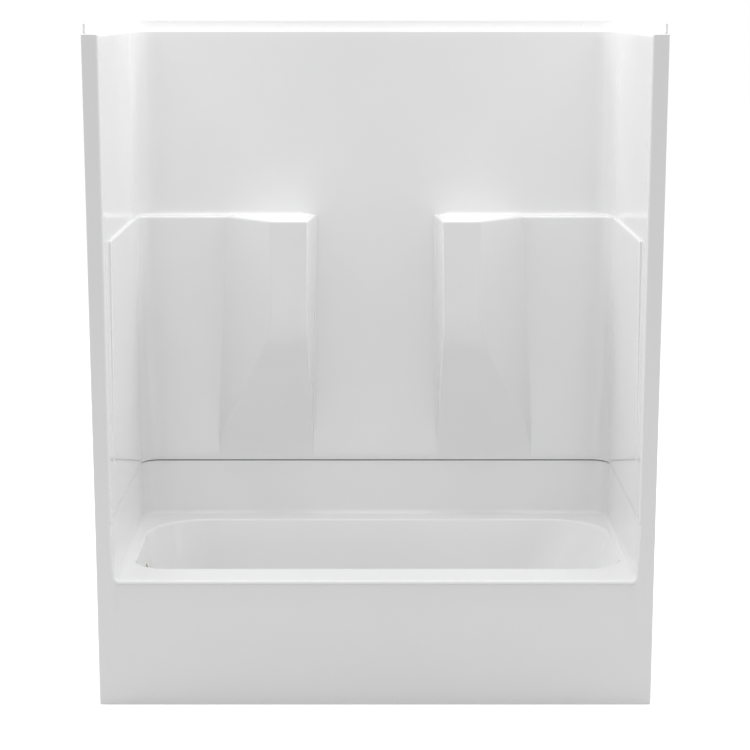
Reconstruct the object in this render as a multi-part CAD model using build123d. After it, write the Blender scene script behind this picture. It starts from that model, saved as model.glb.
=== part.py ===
from build123d import *
from math import cos, radians, sin, tan
import os

# Tub and shower unit for an alcove, in two moulded sections of gelcoated glass fibre laminate.
# Millimetres. +Z is up, the open front looks along -Y, and +X is to the right of someone facing it.
# The origin is on the floor, in the middle of the unit's width and depth.

# Overall sizes
overall_width = 1524.0
overall_depth = 762.0
finished_height = 1829.0
nailing_flange_height = 25.0
laminate = 5.0
half_width = overall_width / 2
front_face = -overall_depth / 2
back_face = overall_depth / 2

# Front columns, the flat uprights at each side of the opening
column_width = 45.0
column_lip_depth = 25.0
front_edge_radius = 8.0

# Seam between the sections, with its fasteners
seam_gap = 3.0
seam_flange_width = 34.0
column_seam_gap = 0.3
gasket_setback = 3.0
bolt_radius = 3.0
bolt_hole_radius = 3.3
bolt_head_radius = 5.6
bolt_head_height = 4.0
bolt_tail = 6.5
washer_radius = 8.5
washer_thickness = 1.6
nut_radius = 5.6
nut_height = 5.0
nut_clearance = 0.05
back_bolt_count = 5
side_bolt_count = 3
bolt_offset = 20.0
bolt_end_margin = 90.0

# Tub section; its low walls stand a lap further out than the walls over them and lean in to the deck
rim_height = 356.0
low_wall_height = 162.0
wall_lap = 3.0
side_wall_lean = 6.0
back_wall_lean = 17.0
tub_corner_radius = 48.0
deck_cove_radius = 12.0
seam_height = rim_height + low_wall_height
wall_half_width = half_width - column_width
seam_half_width = wall_half_width + wall_lap
seam_back = back_face - seam_flange_width
deck_half_width = seam_half_width - side_wall_lean
deck_back = seam_back - back_wall_lean

# Deck widths round the basin, its wall slopes in degrees from upright, and its corners
left_deck = 34.0
right_deck = 16.0
front_deck = 119.0
back_deck = 79.0
basin_left = left_deck - deck_half_width
basin_right = deck_half_width - right_deck
basin_front = front_face + front_deck
basin_back = deck_back - back_deck
left_slope = 7.0
right_slope = 27.0
front_slope = 8.0
back_slope = 11.0
front_left_corner = 95.0
back_left_corner = 170.0
front_right_corner = 110.0
back_right_corner = 170.0
basin_floor_height = 38.0
basin_floor_fall = 0.7
basin_floor_radius = 55.0
basin_rim_radius = 7.0

# Apron, set back a little under the rim between the columns
apron_recess = 6.5
apron_recess_side = 9.0
apron_recess_drop = 13.0
apron_recess_bottom = 200.0
apron_recess_slope_height = 4.0
apron_recess_half_width = wall_half_width - apron_recess_side
apron_recess_top = rim_height - apron_recess_drop

# Waste holes
drain_from_left = 153.0
drain_y = (basin_front + basin_back) / 2
drain_hole_radius = 26.0
drain_seat_radius = 38.0
drain_seat_depth = 3.0
drain_x = basin_left + drain_from_left
drain_floor = basin_floor_height + drain_from_left * tan(radians(basin_floor_fall))
overflow_hole_radius = 28.5
overflow_below_rim = 92.0

# Wall section
wall_back = seam_back - wall_lap
wall_corner_low = 48.0
wall_corner_high = 76.0
shelf_height = 1280.0
panel_foot_height = 590.0
back_panel_depth = 32.0
side_panel_depth = 8.0
panel_corner_radius = 40.0
side_panel_setback = 84.0
side_panel_front_run = 10.0
panel_inner_edge = 184.0
side_panel_front = front_face + side_panel_setback
shelf_depth = 152.0
shelf_inner_edge = 180.0
shelf_front_inner = 198.0
shelf_front_outer = 310.0
shelf_facet_outer = 444.0
shelf_side_draft = 11.5
shelf_straight_bottom = 985.0
shelf_bend_height = 860.0
shelf_bend_depth = 92.0

# Fixing holes in the nailing flange, for the studs behind it
fixing_hole_radius = 2.5
stud_spacing = 406.4
outer_fixing_inset = 152.4
side_fixing_spacing = 400.0

# Timber and board behind the laminate
board = 11.0
wall_board = 12.0
apron_board_thickness = 9.0
apron_board_bottom = 5.0
timber = 38.0
batten = 26.0
batten_width = 40.0
small_gap = 0.2
leg = 50.0
leg_inset = 39.0
front_leg_setback = 61.0
back_leg_setback = 50.0
front_rail_width = 50.0
back_rail_width = 38.0
sill_end = 14.0
apron_post_count = 3
floor_board_margin = 80.0
drain_cutout = 64.0
bearer_count = 4
bearer_width = 45.0
bearer_overhang = 60.0
drain_block_shift = 8.0
drain_block_gap = 150.0
drain_pad_radius = 60.0
drain_pad_thickness = 8.0
overflow_pad_size = 110.0
overflow_pad_thickness = 10.0
rib_end = 117.0
lower_rib_rise = 40.0
back_batten_x = 120.0
side_batten_y = 170.0
valve_board_width = 260.0
valve_board_bottom = 640.0
valve_board_top = 1220.0
shower_arm_board_height = 150.0
shower_arm_board_drop = 24.0
shelf_core_width = 84.0
shelf_core_height = 40.0
shelf_core_gap = 4.0
leg_x = deck_half_width - leg_inset
front_leg_y = front_face + front_leg_setback
back_leg_y = deck_back - back_leg_setback
seam_flange_front = front_face + laminate + batten + 2 * laminate
shelf_core_middle = (shelf_front_inner + shelf_front_outer) / 2
batten_foot = seam_height + seam_gap + laminate + small_gap
batten_top = finished_height - laminate - small_gap

# Room left round a hollow's solid so that it passes right through what it is taken from
far = 60.0


def evenly(low, high, count):
    """Places from low to high at equal steps."""
    return [low + (high - low) * number / (count - 1) for number in range(count)]


def block(x_low, x_high, y_low, y_high, z_low, z_high):
    """A plain box between two corners."""
    size = (x_high - x_low, y_high - y_low, z_high - z_low)
    return Pos((x_low + x_high) / 2, (y_low + y_high) / 2, (z_low + z_high) / 2) * Box(*size)


def mirrored(solid):
    """The same piece on the other side of the unit."""
    return mirror(solid, about=Plane.YZ)


def alcove_plan(half, back, corner, front=front_face - far):
    """Plan of the alcove's air: square at the front, rounded at the two back corners."""
    outline = Polyline((-half, back - corner), (-half, front), (half, front), (half, back - corner))
    outline += RadiusArc((half, back - corner), (half - corner, back), -corner)
    outline += Line((half - corner, back), (corner - half, back))
    outline += RadiusArc((corner - half, back), (-half, back - corner), -corner)
    return make_face(outline)


def between(low_height, low_plan, high_height, high_plan):
    """A solid with straight sides from one plan up to another."""
    return loft([Pos(0, 0, low_height) * low_plan, Pos(0, 0, high_height) * high_plan], ruled=True)


def side_profile(points, x_low, x_high, grow=0.0):
    """A prism along X with an outline given as (y, z) points, its faces moved out by grow."""
    face = make_face(Polyline(*points, close=True))
    if grow:
        face = offset(face, amount=grow, kind=Kind.INTERSECTION)
    prism = extrude(Plane.YZ * face, amount=x_high - x_low + 2 * grow)
    return Pos(x_low - grow, 0, 0) * prism


def front_air(grow=0.0):
    """The room in front of the unit, whose face is the plane of columns and apron."""
    return block(-half_width - far, half_width + far, front_face - far, front_face + grow,
                 -far, finished_height + nailing_flange_height + far)


def basin_floor_cut(grow=0.0):
    """Everything below the basin's floor, which falls gently to the drain."""
    below = Pos(0, 0, -200 - grow) * Box(3000, 1000, 400)
    return Pos(basin_left, 0, basin_floor_height) * Rot(0, -basin_floor_fall, 0) * below


def drafted_rectangle(drop, grow):
    """The basin's outline before rounding, at a distance below the rim."""
    left = basin_left + drop * tan(radians(left_slope)) - grow / cos(radians(left_slope))
    right = basin_right - drop * tan(radians(right_slope)) + grow / cos(radians(right_slope))
    front = basin_front + drop * tan(radians(front_slope)) - grow / cos(radians(front_slope))
    back = basin_back - drop * tan(radians(back_slope)) + grow / cos(radians(back_slope))
    return [(left, front), (right, front), (right, back), (left, back)]


def basin_air(grow=0.0):
    """The hollow of the tub, with rounded corners and a rounded floor edge."""
    top, bottom = rim_height + 8.0, basin_floor_height - 30.0
    upper = [(x, y, top) for x, y in drafted_rectangle(rim_height - top, grow)]
    lower = [(x, y, bottom) for x, y in drafted_rectangle(rim_height - bottom, grow)]
    sides = [[lower[i], lower[(i + 1) % 4], upper[(i + 1) % 4], upper[i]] for i in range(4)]
    loops = [upper, lower, *sides]
    hollow = Solid(Shell([Face(Wire(Polyline(*loop, close=True).edges())) for loop in loops]))
    radii = (front_left_corner, front_right_corner, back_right_corner, back_left_corner)
    for (x, y, z), radius in zip(lower, radii):
        slanted = [e for e in hollow.edges() if abs((e @ 0).Z - (e @ 1).Z) > 50]
        nearest = min(slanted, key=lambda e: min((Vector(x, y, z) - e @ 0).length,
                                                 (Vector(x, y, z) - e @ 1).length))
        hollow = fillet(nearest, radius + grow)
    hollow = hollow - basin_floor_cut(grow)
    floor = hollow.faces().sort_by(Axis.Z)[0]
    return fillet(floor.edges(), basin_floor_radius + grow)



def tub_alcove_air(grow=0.0):
    """The air over the deck of the tub section, up past the seam."""
    above = far / (seam_height - rim_height)
    low = alcove_plan(deck_half_width + grow, deck_back + grow, tub_corner_radius + grow)
    high = alcove_plan(
        seam_half_width + (seam_half_width - deck_half_width) * above + grow,
        seam_back + (seam_back - deck_back) * above + grow,
        tub_corner_radius + grow,
    )
    air = between(rim_height - grow, low, seam_height + far, high)
    deck = air.faces().sort_by(Axis.Z)[0]
    coves = [e for e in deck.edges() if e.center().Y > front_face - far + 1]
    return fillet(coves, deck_cove_radius + grow)


def apron_recess_air(grow=0.0):
    """The shallow hollow under the rim, deepest at its top and gone at its foot."""
    outline = [
        (front_face - far, apron_recess_top + apron_recess_slope_height),
        (front_face, apron_recess_top + apron_recess_slope_height),
        (front_face + apron_recess, apron_recess_top),
        (front_face, apron_recess_bottom),
        (front_face - far, apron_recess_bottom),
    ]
    return side_profile(outline, -apron_recess_half_width, apron_recess_half_width, grow)


def drain_seat_air(grow=0.0):
    """The shallow round seat of the drain's flange."""
    seat = drain_floor - drain_seat_depth - grow
    depth = drain_seat_depth + basin_floor_radius / 2
    return Pos(drain_x, drain_y, seat + depth / 2) * Cylinder(drain_seat_radius + grow, depth)


def tub_air(grow=0.0):
    """All the air that the tub section's laminate bounds: before it, over it and in its basin."""
    air = front_air(grow) + tub_alcove_air(grow) + basin_air(grow)

    def lies(edge, coordinate, value):
        ends = (getattr(edge @ 0, coordinate), getattr(edge @ 1, coordinate))
        return all(abs(end - value) < 0.01 for end in ends)

    def around_opening(edge):
        return (lies(edge, "Y", front_face + grow) and abs(edge.center().X) < half_width
                and rim_height - grow - 1 < edge.center().Z < seam_height + far - 1)

    def around_basin(edge):
        return lies(edge, "Z", rim_height - grow) and all(
            basin_front - 2 * laminate < (edge @ end).Y < basin_back + 2 * laminate for end in (0, 1))

    air = fillet([e for e in air.edges() if around_opening(e)], front_edge_radius - grow)
    air = fillet([e for e in air.edges() if around_basin(e)], basin_rim_radius - grow)
    return air + apron_recess_air(grow) + drain_seat_air(grow)


def side_lip(z_low, z_high):
    """The lip that turns back from the outer edge of the right column."""
    return block(half_width - laminate, half_width, front_face, front_face + column_lip_depth,
                 z_low, z_high)


def seam_ring(inner_half, inner_back, inner_corner, outer_setback, z_low, z_high):
    """A level U-shaped strip round the outside of the alcove at the seam."""
    outer = alcove_plan(seam_half_width + seam_flange_width - outer_setback,
                        seam_back + seam_flange_width - outer_setback,
                        tub_corner_radius + seam_flange_width - outer_setback, seam_flange_front)
    inner = alcove_plan(inner_half, inner_back, inner_corner)
    return Pos(0, 0, z_low) * extrude(outer - inner, amount=z_high - z_low)


def bolt_places():
    """Centres of the bolts that join the two sections, round the back and both sides."""
    end = seam_half_width - tub_corner_radius - bolt_end_margin
    back = [(x, seam_back + bolt_offset) for x in evenly(-end, end, back_bolt_count)]
    side_ys = evenly(seam_flange_front + bolt_end_margin,
                     seam_back - tub_corner_radius - bolt_end_margin, side_bolt_count)
    sides = [(side * (seam_half_width + bolt_offset), y) for side in (-1, 1) for y in side_ys]
    return back + sides


def at_bolts(solid):
    """A group of copies of one fastener, one at each bolt place."""
    return Compound(children=[Pos(x, y, 0) * solid for x, y in bolt_places()])


def upright(radius, z_low, z_high):
    """A round bar along Z."""
    return Pos(0, 0, (z_low + z_high) / 2) * Cylinder(radius, z_high - z_low)


def bolt_holes():
    """Clearance holes through the seam's flanges and gasket."""
    return at_bolts(upright(bolt_hole_radius, seam_height - 3 * laminate, seam_height + 3 * laminate))


def overflow_plane(out=0.0):
    """A plane on the drain end's wall at the overflow, facing out of the basin."""
    slope = radians(left_slope)
    x = basin_left + overflow_below_rim * tan(slope)
    base = Plane(origin=(x, drain_y, rim_height - overflow_below_rim),
                 x_dir=(0, 1, 0), z_dir=(-cos(slope), 0, -sin(slope)))
    return base.offset(out)


def overflow_hole():
    """The round hole square through the drain end's wall and its pad."""
    return extrude(overflow_plane(-4 * laminate) * Circle(overflow_hole_radius), amount=10 * laminate)


def drain_hole():
    """The round hole down through the basin's floor and its pad."""
    return Pos(drain_x, drain_y, 0) * upright(drain_hole_radius, -far, rim_height / 2)


def make_tub_shell():
    """The lower laminate: apron, columns, deck, basin, low walls and seam flange."""
    wall = tub_air(laminate) - tub_air()
    wall &= block(-half_width, half_width, front_face, back_face, 0, seam_height)
    lip = side_lip(0, seam_height)
    flange = seam_ring(seam_half_width + laminate / 2, seam_back + laminate / 2,
                       tub_corner_radius + laminate / 2, 0, seam_height - laminate, seam_height)
    shell = wall + lip + mirrored(lip) + flange
    return shell - bolt_holes() - drain_hole() - overflow_hole()


def panel_plan(back_depth, side_depth, grow):
    """Plan of the thick lower wall on the right, which stands proud of the wall above it."""
    half = wall_half_width - side_depth + grow
    back = wall_back - back_depth + grow
    corner = panel_corner_radius + grow
    outside_x, outside_y = half_width + far, back_face + far
    front = side_panel_front + grow
    outline = Polyline(
        (half, back - corner), (half, front), (outside_x, front - side_panel_front_run),
        (outside_x, outside_y), (panel_inner_edge + grow, outside_y),
        (panel_inner_edge + grow, back), (half - corner, back),
    )
    outline += RadiusArc((half - corner, back), (half, back - corner), corner)
    return make_face(outline)


def panel_bulk(grow=0.0):
    """The right panel as a solid: full depth at the shelf height, nothing at its foot."""
    return between(panel_foot_height, panel_plan(-1.0, -1.0, grow),
                   shelf_height - grow, panel_plan(back_panel_depth, side_panel_depth, grow))


def shelf_bulk(grow=0.0):
    """The right shelf as a solid: a box with a slanted outer facet that leans back below."""
    front = wall_back - shelf_depth
    outside = back_face + far
    run = outside - front
    inner_slope = (shelf_front_inner - shelf_inner_edge) / shelf_depth
    facet_slope = (shelf_facet_outer - shelf_front_outer) / (shelf_depth - back_panel_depth)

    def plan(shift):
        corners = [
            (shelf_front_inner - inner_slope * run + shift, outside),
            (shelf_front_inner + shift, front),
            (shelf_front_outer, front),
            (shelf_front_outer + facet_slope * run, outside),
        ]
        face = make_face(Polyline(*corners, close=True))
        return offset(face, amount=-grow, kind=Kind.INTERSECTION) if grow else face

    column = between(panel_foot_height - far, plan(shelf_side_draft), shelf_height - grow, plan(0))
    profile = [
        (front, shelf_height + far),
        (front, shelf_straight_bottom),
        (wall_back - shelf_bend_depth, shelf_bend_height),
        (wall_back, panel_foot_height),
        (outside, panel_foot_height - far),
        (outside, shelf_height + far),
    ]
    return column & side_profile(profile, 0, half_width, -grow)


def wall_space(grow=0.0):
    """The air inside the wall section, less its panels and shelves."""
    low = alcove_plan(wall_half_width + grow, wall_back + grow, wall_corner_low + grow)
    high = alcove_plan(wall_half_width + grow, wall_back + grow, wall_corner_high + grow)
    space = between(seam_height - far, low, finished_height + nailing_flange_height, high)
    bulk = panel_bulk(grow) + shelf_bulk(grow)
    return space - bulk - mirrored(bulk)


def top_air(grow=0.0):
    """The air over the wall section's top ledge, inside its nailing flange."""
    half, back = half_width - laminate, back_face - laminate
    corner = wall_corner_high + back - wall_back
    plan = alcove_plan(half + grow, back + grow, corner + grow)
    height = nailing_flange_height + far + grow
    return Pos(0, 0, finished_height - grow) * extrude(plan, amount=height)


def wall_air(grow=0.0):
    """All the air that the wall section's laminate bounds."""
    air = front_air(grow) + wall_space(grow) + top_air(grow)

    def at_column(edge):
        return all(abs((edge @ end).Y - front_face - grow) < 0.01
                   and abs(abs((edge @ end).X) - wall_half_width - grow) < 0.01 for end in (0, 1))

    return fillet([e for e in air.edges() if at_column(e)], front_edge_radius - grow)


def fixing_holes():
    """Screw holes through the nailing flange at the studs' spacing."""
    height = finished_height + nailing_flange_height / 2
    through = 4 * laminate
    outer, inner, side_y = half_width - outer_fixing_inset, stud_spacing / 2, side_fixing_spacing / 2
    back = [Pos(x, back_face, height) * Rot(90, 0, 0) * Cylinder(fixing_hole_radius, through)
            for x in (-outer, -inner, inner, outer)]
    sides = [Pos(x, y, height) * Rot(0, 90, 0) * Cylinder(fixing_hole_radius, through)
             for x in (-half_width, half_width) for y in (-side_y, side_y)]
    return Compound(children=back + sides)


def make_wall_surround():
    """The upper laminate: columns, walls, panels, shelves, top ledge and nailing flange."""
    skin = wall_air(laminate) - wall_air()
    bottom = seam_height + seam_gap
    column_bottom = seam_height + column_seam_gap
    top = finished_height + nailing_flange_height
    walls = skin & block(-half_width, half_width, front_face, back_face, bottom, top)
    walls -= block(-half_width, half_width, front_face - far, seam_flange_front,
                   finished_height, top + far)
    column_foot = skin & block(-half_width, half_width, front_face, front_face + laminate,
                               column_bottom, bottom)
    lip = side_lip(column_bottom, finished_height)
    flange = seam_ring(wall_half_width + laminate / 2, wall_back + laminate / 2,
                       wall_corner_low + laminate / 2, 0, bottom, bottom + laminate)
    shell = walls + column_foot + lip + mirrored(lip) + flange
    return shell - bolt_holes() - fixing_holes()


def make_seam_gasket():
    """The foam strip between the two flanges, set back from the inside."""
    ring = seam_ring(seam_half_width + gasket_setback, seam_back + gasket_setback,
                     tub_corner_radius + gasket_setback, gasket_setback,
                     seam_height, seam_height + seam_gap)
    return ring - bolt_holes()


def make_seam_bolts():
    """Bolts down through both flanges, with hexagonal heads on top."""
    seat = seam_height + seam_gap + laminate + washer_thickness
    head = Pos(0, 0, seat) * extrude(RegularPolygon(bolt_head_radius, 6), amount=bolt_head_height)
    shank = upright(bolt_radius, seam_height - laminate - washer_thickness - bolt_tail, seat)
    return at_bolts(head + shank)


def make_seam_washers():
    """Two washers on each bolt, over and under the flanges."""
    over = seam_height + seam_gap + laminate
    under = seam_height - laminate - washer_thickness
    hole = upright(bolt_hole_radius, under - 1, over + washer_thickness + 1)
    rings = [upright(washer_radius, low, low + washer_thickness) - hole for low in (over, under)]
    return Compound(children=[Pos(x, y, 0) * ring for x, y in bolt_places() for ring in rings])


def make_seam_nuts():
    """A nut under each bolt's lower washer."""
    top = seam_height - laminate - washer_thickness
    nut = Pos(0, 0, top - nut_height) * extrude(RegularPolygon(nut_radius, 6), amount=nut_height)
    return at_bolts(nut - upright(bolt_radius + nut_clearance, top - nut_height - 1, top + 1))


def floor_board_edges():
    """Left, right, front and back edges of the board under the flat of the basin's floor."""
    (left, front), (right, _), (_, back), _ = drafted_rectangle(rim_height - basin_floor_height, 0)
    return (left + floor_board_margin, right - floor_board_margin,
            front + floor_board_margin, back - floor_board_margin)


def make_tub_floor_board():
    """The board bonded under the basin's floor, notched round the drain."""
    left, right, front, back = floor_board_edges()
    sheet = block(left, right, front, back, 0, rim_height / 2)
    sheet = (sheet & basin_floor_cut(laminate)) - basin_floor_cut(laminate + board)
    notch = block(left - 1, drain_x, drain_y - drain_cutout, drain_y + drain_cutout, -1, rim_height)
    return sheet - notch - Pos(drain_x, drain_y, 0) * upright(drain_cutout, -1, rim_height)


def bearer(x, y_low, y_high):
    """A timber on the floor, planed to the slope of the board over it."""
    timber_block = block(x - bearer_width / 2, x + bearer_width / 2, y_low, y_high, 0, rim_height / 2)
    return timber_block & basin_floor_cut(laminate + board)


def make_drain_pad():
    """A round of extra laminate under the drain's seat."""
    top = drain_floor - drain_seat_depth - laminate
    disc = upright(drain_pad_radius, top - drain_pad_thickness, top)
    return Pos(drain_x, drain_y, 0) * disc - drain_hole()


def make_overflow_pad():
    """A square of extra laminate behind the overflow hole."""
    square = Rectangle(overflow_pad_size, overflow_pad_size)
    return extrude(overflow_plane(laminate) * square, amount=overflow_pad_thickness) - overflow_hole()


def make_apron_board():
    """The stiffening board behind the apron, bent where the apron's recess begins."""
    skin = front_face + laminate + small_gap
    top = apron_recess_top - 2 * laminate
    lean = apron_recess * (top - apron_recess_bottom) / (apron_recess_top - apron_recess_bottom)
    inner = [(skin, apron_board_bottom), (skin, apron_recess_bottom), (skin + lean, top)]
    outer = [(y + apron_board_thickness, z) for y, z in reversed(inner)]
    half = deck_half_width - sill_end
    return side_profile(inner + outer, -half, half)


def make_pieces():
    """Every piece of the unit by its name."""
    leg_half = leg / 2
    between_legs = leg_x - leg_half
    under_deck = rim_height - laminate
    sill_back = front_face + laminate + small_gap + apron_board_thickness
    front_rail_y = front_leg_y - front_rail_width / 2
    back_rail_y = back_leg_y + leg_half - back_rail_width
    board_left, board_right, board_front, board_back = floor_board_edges()
    bearer_front, bearer_back = board_front - bearer_overhang, board_back + bearer_overhang
    drain_block_x = drain_x - drain_block_shift
    pieces = {
        "tub_shell": make_tub_shell(),
        "wall_surround": make_wall_surround(),
        "seam_gasket": make_seam_gasket(),
        "seam_bolts": make_seam_bolts(),
        "seam_washers": make_seam_washers(),
        "seam_nuts": make_seam_nuts(),
        "tub_floor_board": make_tub_floor_board(),
        "drain_block_front": bearer(drain_block_x, bearer_front, drain_y - drain_block_gap / 2),
        "drain_block_back": bearer(drain_block_x, drain_y + drain_block_gap / 2, bearer_back),
        "drain_pad": make_drain_pad(),
        "overflow_pad": make_overflow_pad(),
        "apron_board": make_apron_board(),
        "apron_sill": block(-between_legs, between_legs, sill_back, sill_back + timber, 0, timber),
        "front_deck_rail": block(-between_legs, between_legs,
                                 front_rail_y, front_rail_y + front_rail_width,
                                 under_deck - timber, under_deck),
        "back_deck_rail": block(-between_legs, between_legs, back_rail_y, back_rail_y + back_rail_width,
                                under_deck - timber, under_deck),
    }
    first_bearer = drain_x + drain_cutout + bearer_width
    last_bearer = board_right - bearer_width
    for number, x in enumerate(evenly(first_bearer, last_bearer, bearer_count), 1):
        pieces[f"floor_bearer_{number}"] = bearer(x, bearer_front, bearer_back)
    for number, x in enumerate(evenly(-between_legs / 2, between_legs / 2, apron_post_count), 1):
        pieces[f"apron_post_{number}"] = block(x - timber / 2, x + timber / 2, front_rail_y,
                                               front_rail_y + timber, timber, under_deck - timber)

    outer_x = half_width - laminate - small_gap
    post_inner_x = seam_half_width + front_edge_radius + small_gap
    batten_inner_x = wall_half_width + laminate
    column_back = front_face + laminate
    rib_half = wall_half_width - rib_end
    over_shelf = finished_height - shelf_height
    rib_zs = (seam_height + lower_rib_rise, shelf_height + over_shelf / 4,
              finished_height - over_shelf / 4)
    rib_front, rib_back = wall_back + laminate, wall_back + laminate + batten
    handed = {
        "deck_leg_front": block(leg_x - leg_half, leg_x + leg_half, front_leg_y - leg_half,
                                front_leg_y + leg_half, 0, under_deck),
        "deck_leg_back": block(leg_x - leg_half, leg_x + leg_half, back_leg_y - leg_half,
                               back_leg_y + leg_half, 0, under_deck),
        "column_post": block(post_inner_x, outer_x, column_back, column_back + batten, 0,
                             seam_height - laminate),
        "column_batten": block(post_inner_x, outer_x, column_back, column_back + batten,
                               batten_foot, batten_top),
        "back_batten": block(back_batten_x - batten_width / 2, back_batten_x + batten_width / 2,
                             rib_front, rib_back,
                             rib_zs[0] + batten_width / 2, rib_zs[1] - batten_width / 2),
        "shelf_core": block(shelf_core_middle - shelf_core_width / 2,
                            shelf_core_middle + shelf_core_width / 2,
                            wall_back - shelf_depth + 2 * laminate + shelf_core_gap, rib_front,
                            shelf_height - laminate - shelf_core_height, shelf_height - laminate),
    }
    for name, y in (("side_batten_front", -side_batten_y), ("side_batten_back", side_batten_y)):
        handed[name] = block(batten_inner_x, batten_inner_x + batten, y - batten_width / 2,
                             y + batten_width / 2, batten_foot, batten_top)
    for name, solid in handed.items():
        pieces[f"{name}_left"] = mirrored(solid)
        pieces[f"{name}_right"] = solid

    for name, z in zip(("back_rib_lower", "back_rib_middle", "back_rib_upper"), rib_zs):
        pieces[name] = block(-rib_half, rib_half, rib_front, rib_back,
                             z - batten_width / 2, z + batten_width / 2)
    valve_zone = block(-half_width, 0, -valve_board_width / 2, valve_board_width / 2,
                       valve_board_bottom, valve_board_top)
    pieces["valve_board"] = (wall_space(laminate + wall_board) - wall_space(laminate)) & valve_zone
    arm_board_top = finished_height - shower_arm_board_drop
    pieces["shower_arm_board"] = block(-batten_inner_x - wall_board, -batten_inner_x,
                                       -valve_board_width / 2, valve_board_width / 2,
                                       arm_board_top - shower_arm_board_height, arm_board_top)
    return pieces


os.makedirs("parts", exist_ok=True)
for piece_name, piece in make_pieces().items():
    export_step(piece, f"parts/{piece_name}.step")
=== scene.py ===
import math
import bmesh
import bpy
import numpy as np
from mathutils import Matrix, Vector


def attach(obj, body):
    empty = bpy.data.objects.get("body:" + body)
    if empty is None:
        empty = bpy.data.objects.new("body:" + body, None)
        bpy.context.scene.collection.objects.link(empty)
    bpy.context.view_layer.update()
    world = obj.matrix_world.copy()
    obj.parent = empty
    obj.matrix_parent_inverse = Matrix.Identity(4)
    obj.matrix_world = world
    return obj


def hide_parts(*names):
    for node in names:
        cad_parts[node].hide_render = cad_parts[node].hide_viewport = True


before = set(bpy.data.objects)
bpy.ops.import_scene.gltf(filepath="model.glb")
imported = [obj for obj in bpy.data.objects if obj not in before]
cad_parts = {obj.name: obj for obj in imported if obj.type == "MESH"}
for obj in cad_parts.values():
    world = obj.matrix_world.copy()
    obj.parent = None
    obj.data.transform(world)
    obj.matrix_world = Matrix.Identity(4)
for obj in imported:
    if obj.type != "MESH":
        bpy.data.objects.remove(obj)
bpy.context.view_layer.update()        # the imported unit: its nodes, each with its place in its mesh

print("frame loaded:", len(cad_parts), "nodes")

# The two sections are worked out in millimetres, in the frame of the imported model: x to the right, y to the
# back, z up. A shell's visible face has grow 0, and its rough hidden face has grow equal to the laminate.
# Finishes, timber edges and lamps are in metres, as Blender has them.
laminate = 5.0

unit = {
    "halfWidth": 762.0,       # outside of each column's lip
    "front": -381.0,          # face of the apron and the columns
    "lipBack": -356.0,        # how far the lips turn back
    "edge": 8.0,              # radius of the columns' inner edges and of the tub's front edge
    "outerEdge": 2.0,         # radius of the columns' outer edges
    "flangeFront": -340.0,    # where the seam flanges and the nailing flange end
    "seamReach": (754.0, 381.0, 82.0),   # outer edge of the seam flanges: half width, back, corner radius
    "seamRoll": 3.0,          # radius with which each section turns out into its seam flange
}

arcRoom = 0.49                               # the most of a line that the arc at either end of it may take
weld, weldShift = 0.03, 0.2137               # cell in which points become one, and the cells' shift in cells
creaseAngle = math.radians(40)               # faces of a shell that meet at more than this have a sharp edge
mirrored = np.array([-1.0, 1.0, 1.0])        # takes points of the right half to the left half


# Steps from 0 up to, but not including, 1.
def evenPlaces(count):
    return np.arange(count) / count


# A value that goes up smoothly from 0 to 1 between two limits, with no slope at either.
def smoothStep(value, low, high):
    share = np.clip((value - low) / (high - low), 0, 1)
    return share * share * (3 - 2 * share)


# A line through knots, averaged at 17 places over a window to either side, so that its bends are rounded.
def softened(value, places, heights, window):
    shifts = np.linspace(-window, window, 17)
    return np.interp(value[..., None] + shifts, places, heights).mean(-1)


# Straight lines, each moved to its left by its own offset, with every corner rounded by an arc.
# Moved lines a and b meet at corner + (offsetA * b - offsetB * a) / sin(turn). An arc with its centre
# on the left loses the offset from its radius, and one with its centre on the right gains it.
def roundedPath(corners, headings, offsets, radii, linePlaces, arcSteps):
    left = np.stack([-headings[..., 1], headings[..., 0]], -1)
    a, b = headings[..., :-1, :], headings[..., 1:, :]
    sine = a[..., 0] * b[..., 1] - a[..., 1] * b[..., 0]
    turn = np.arctan2(sine, (a * b).sum(-1))
    side = np.sign(turn)
    before, after = offsets[..., :-1], offsets[..., 1:]
    meets = corners.copy()
    meets[..., 1:-1, :] += (before[..., None] * b - after[..., None] * a) / sine[..., None]
    meets[..., 0, :] += left[..., 0, :] * offsets[..., 0, None]
    meets[..., -1, :] += left[..., -1, :] * offsets[..., -1, None]
    lengths = np.maximum(((meets[..., 1:, :] - meets[..., :-1, :]) * headings).sum(-1), 0)
    half = np.abs(np.tan(turn / 2))
    room = arcRoom * np.minimum(lengths[..., :-1], lengths[..., 1:]) / half
    radius = np.clip(radii - side * (before + after) / 2, 0, room)
    starts = meets[..., 1:-1, :] - a * (radius * half)[..., None]
    ends = meets[..., 1:-1, :] + b * (radius * half)[..., None]
    arms = -left[..., :-1, :] * (side * radius)[..., None]
    lines = headings.shape[-2]
    found = []
    for i in range(lines):
        low = meets[..., 0, :] if i == 0 else ends[..., i - 1, :]
        high = meets[..., -1, :] if i == lines - 1 else starts[..., i, :]
        found.append(low[..., None, :] + (high - low)[..., None, :] * linePlaces[i][:, None])
        if i < lines - 1:
            angle = turn[..., i, None] * evenPlaces(arcSteps[i])
            armX, armY = arms[..., i, 0, None], arms[..., i, 1, None]
            swung = np.stack([armX * np.cos(angle) - armY * np.sin(angle),
                              armX * np.sin(angle) + armY * np.cos(angle)], -1)
            found.append((starts - arms)[..., i, None, :] + swung)
    found.append(meets[..., -1:, :])
    return np.concatenate(found, -2)


# A value for each point of such a path from one value a line: it changes evenly along each arc.
def alongPath(values, linePlaces, arcSteps):
    found = []
    for i, value in enumerate(values):
        found.append(np.full(len(linePlaces[i]), float(value)))
        if i < len(values) - 1:
            found.append(value + (values[i + 1] - value) * evenPlaces(arcSteps[i]))
    return np.concatenate(found + [[float(values[-1])]])


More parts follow.
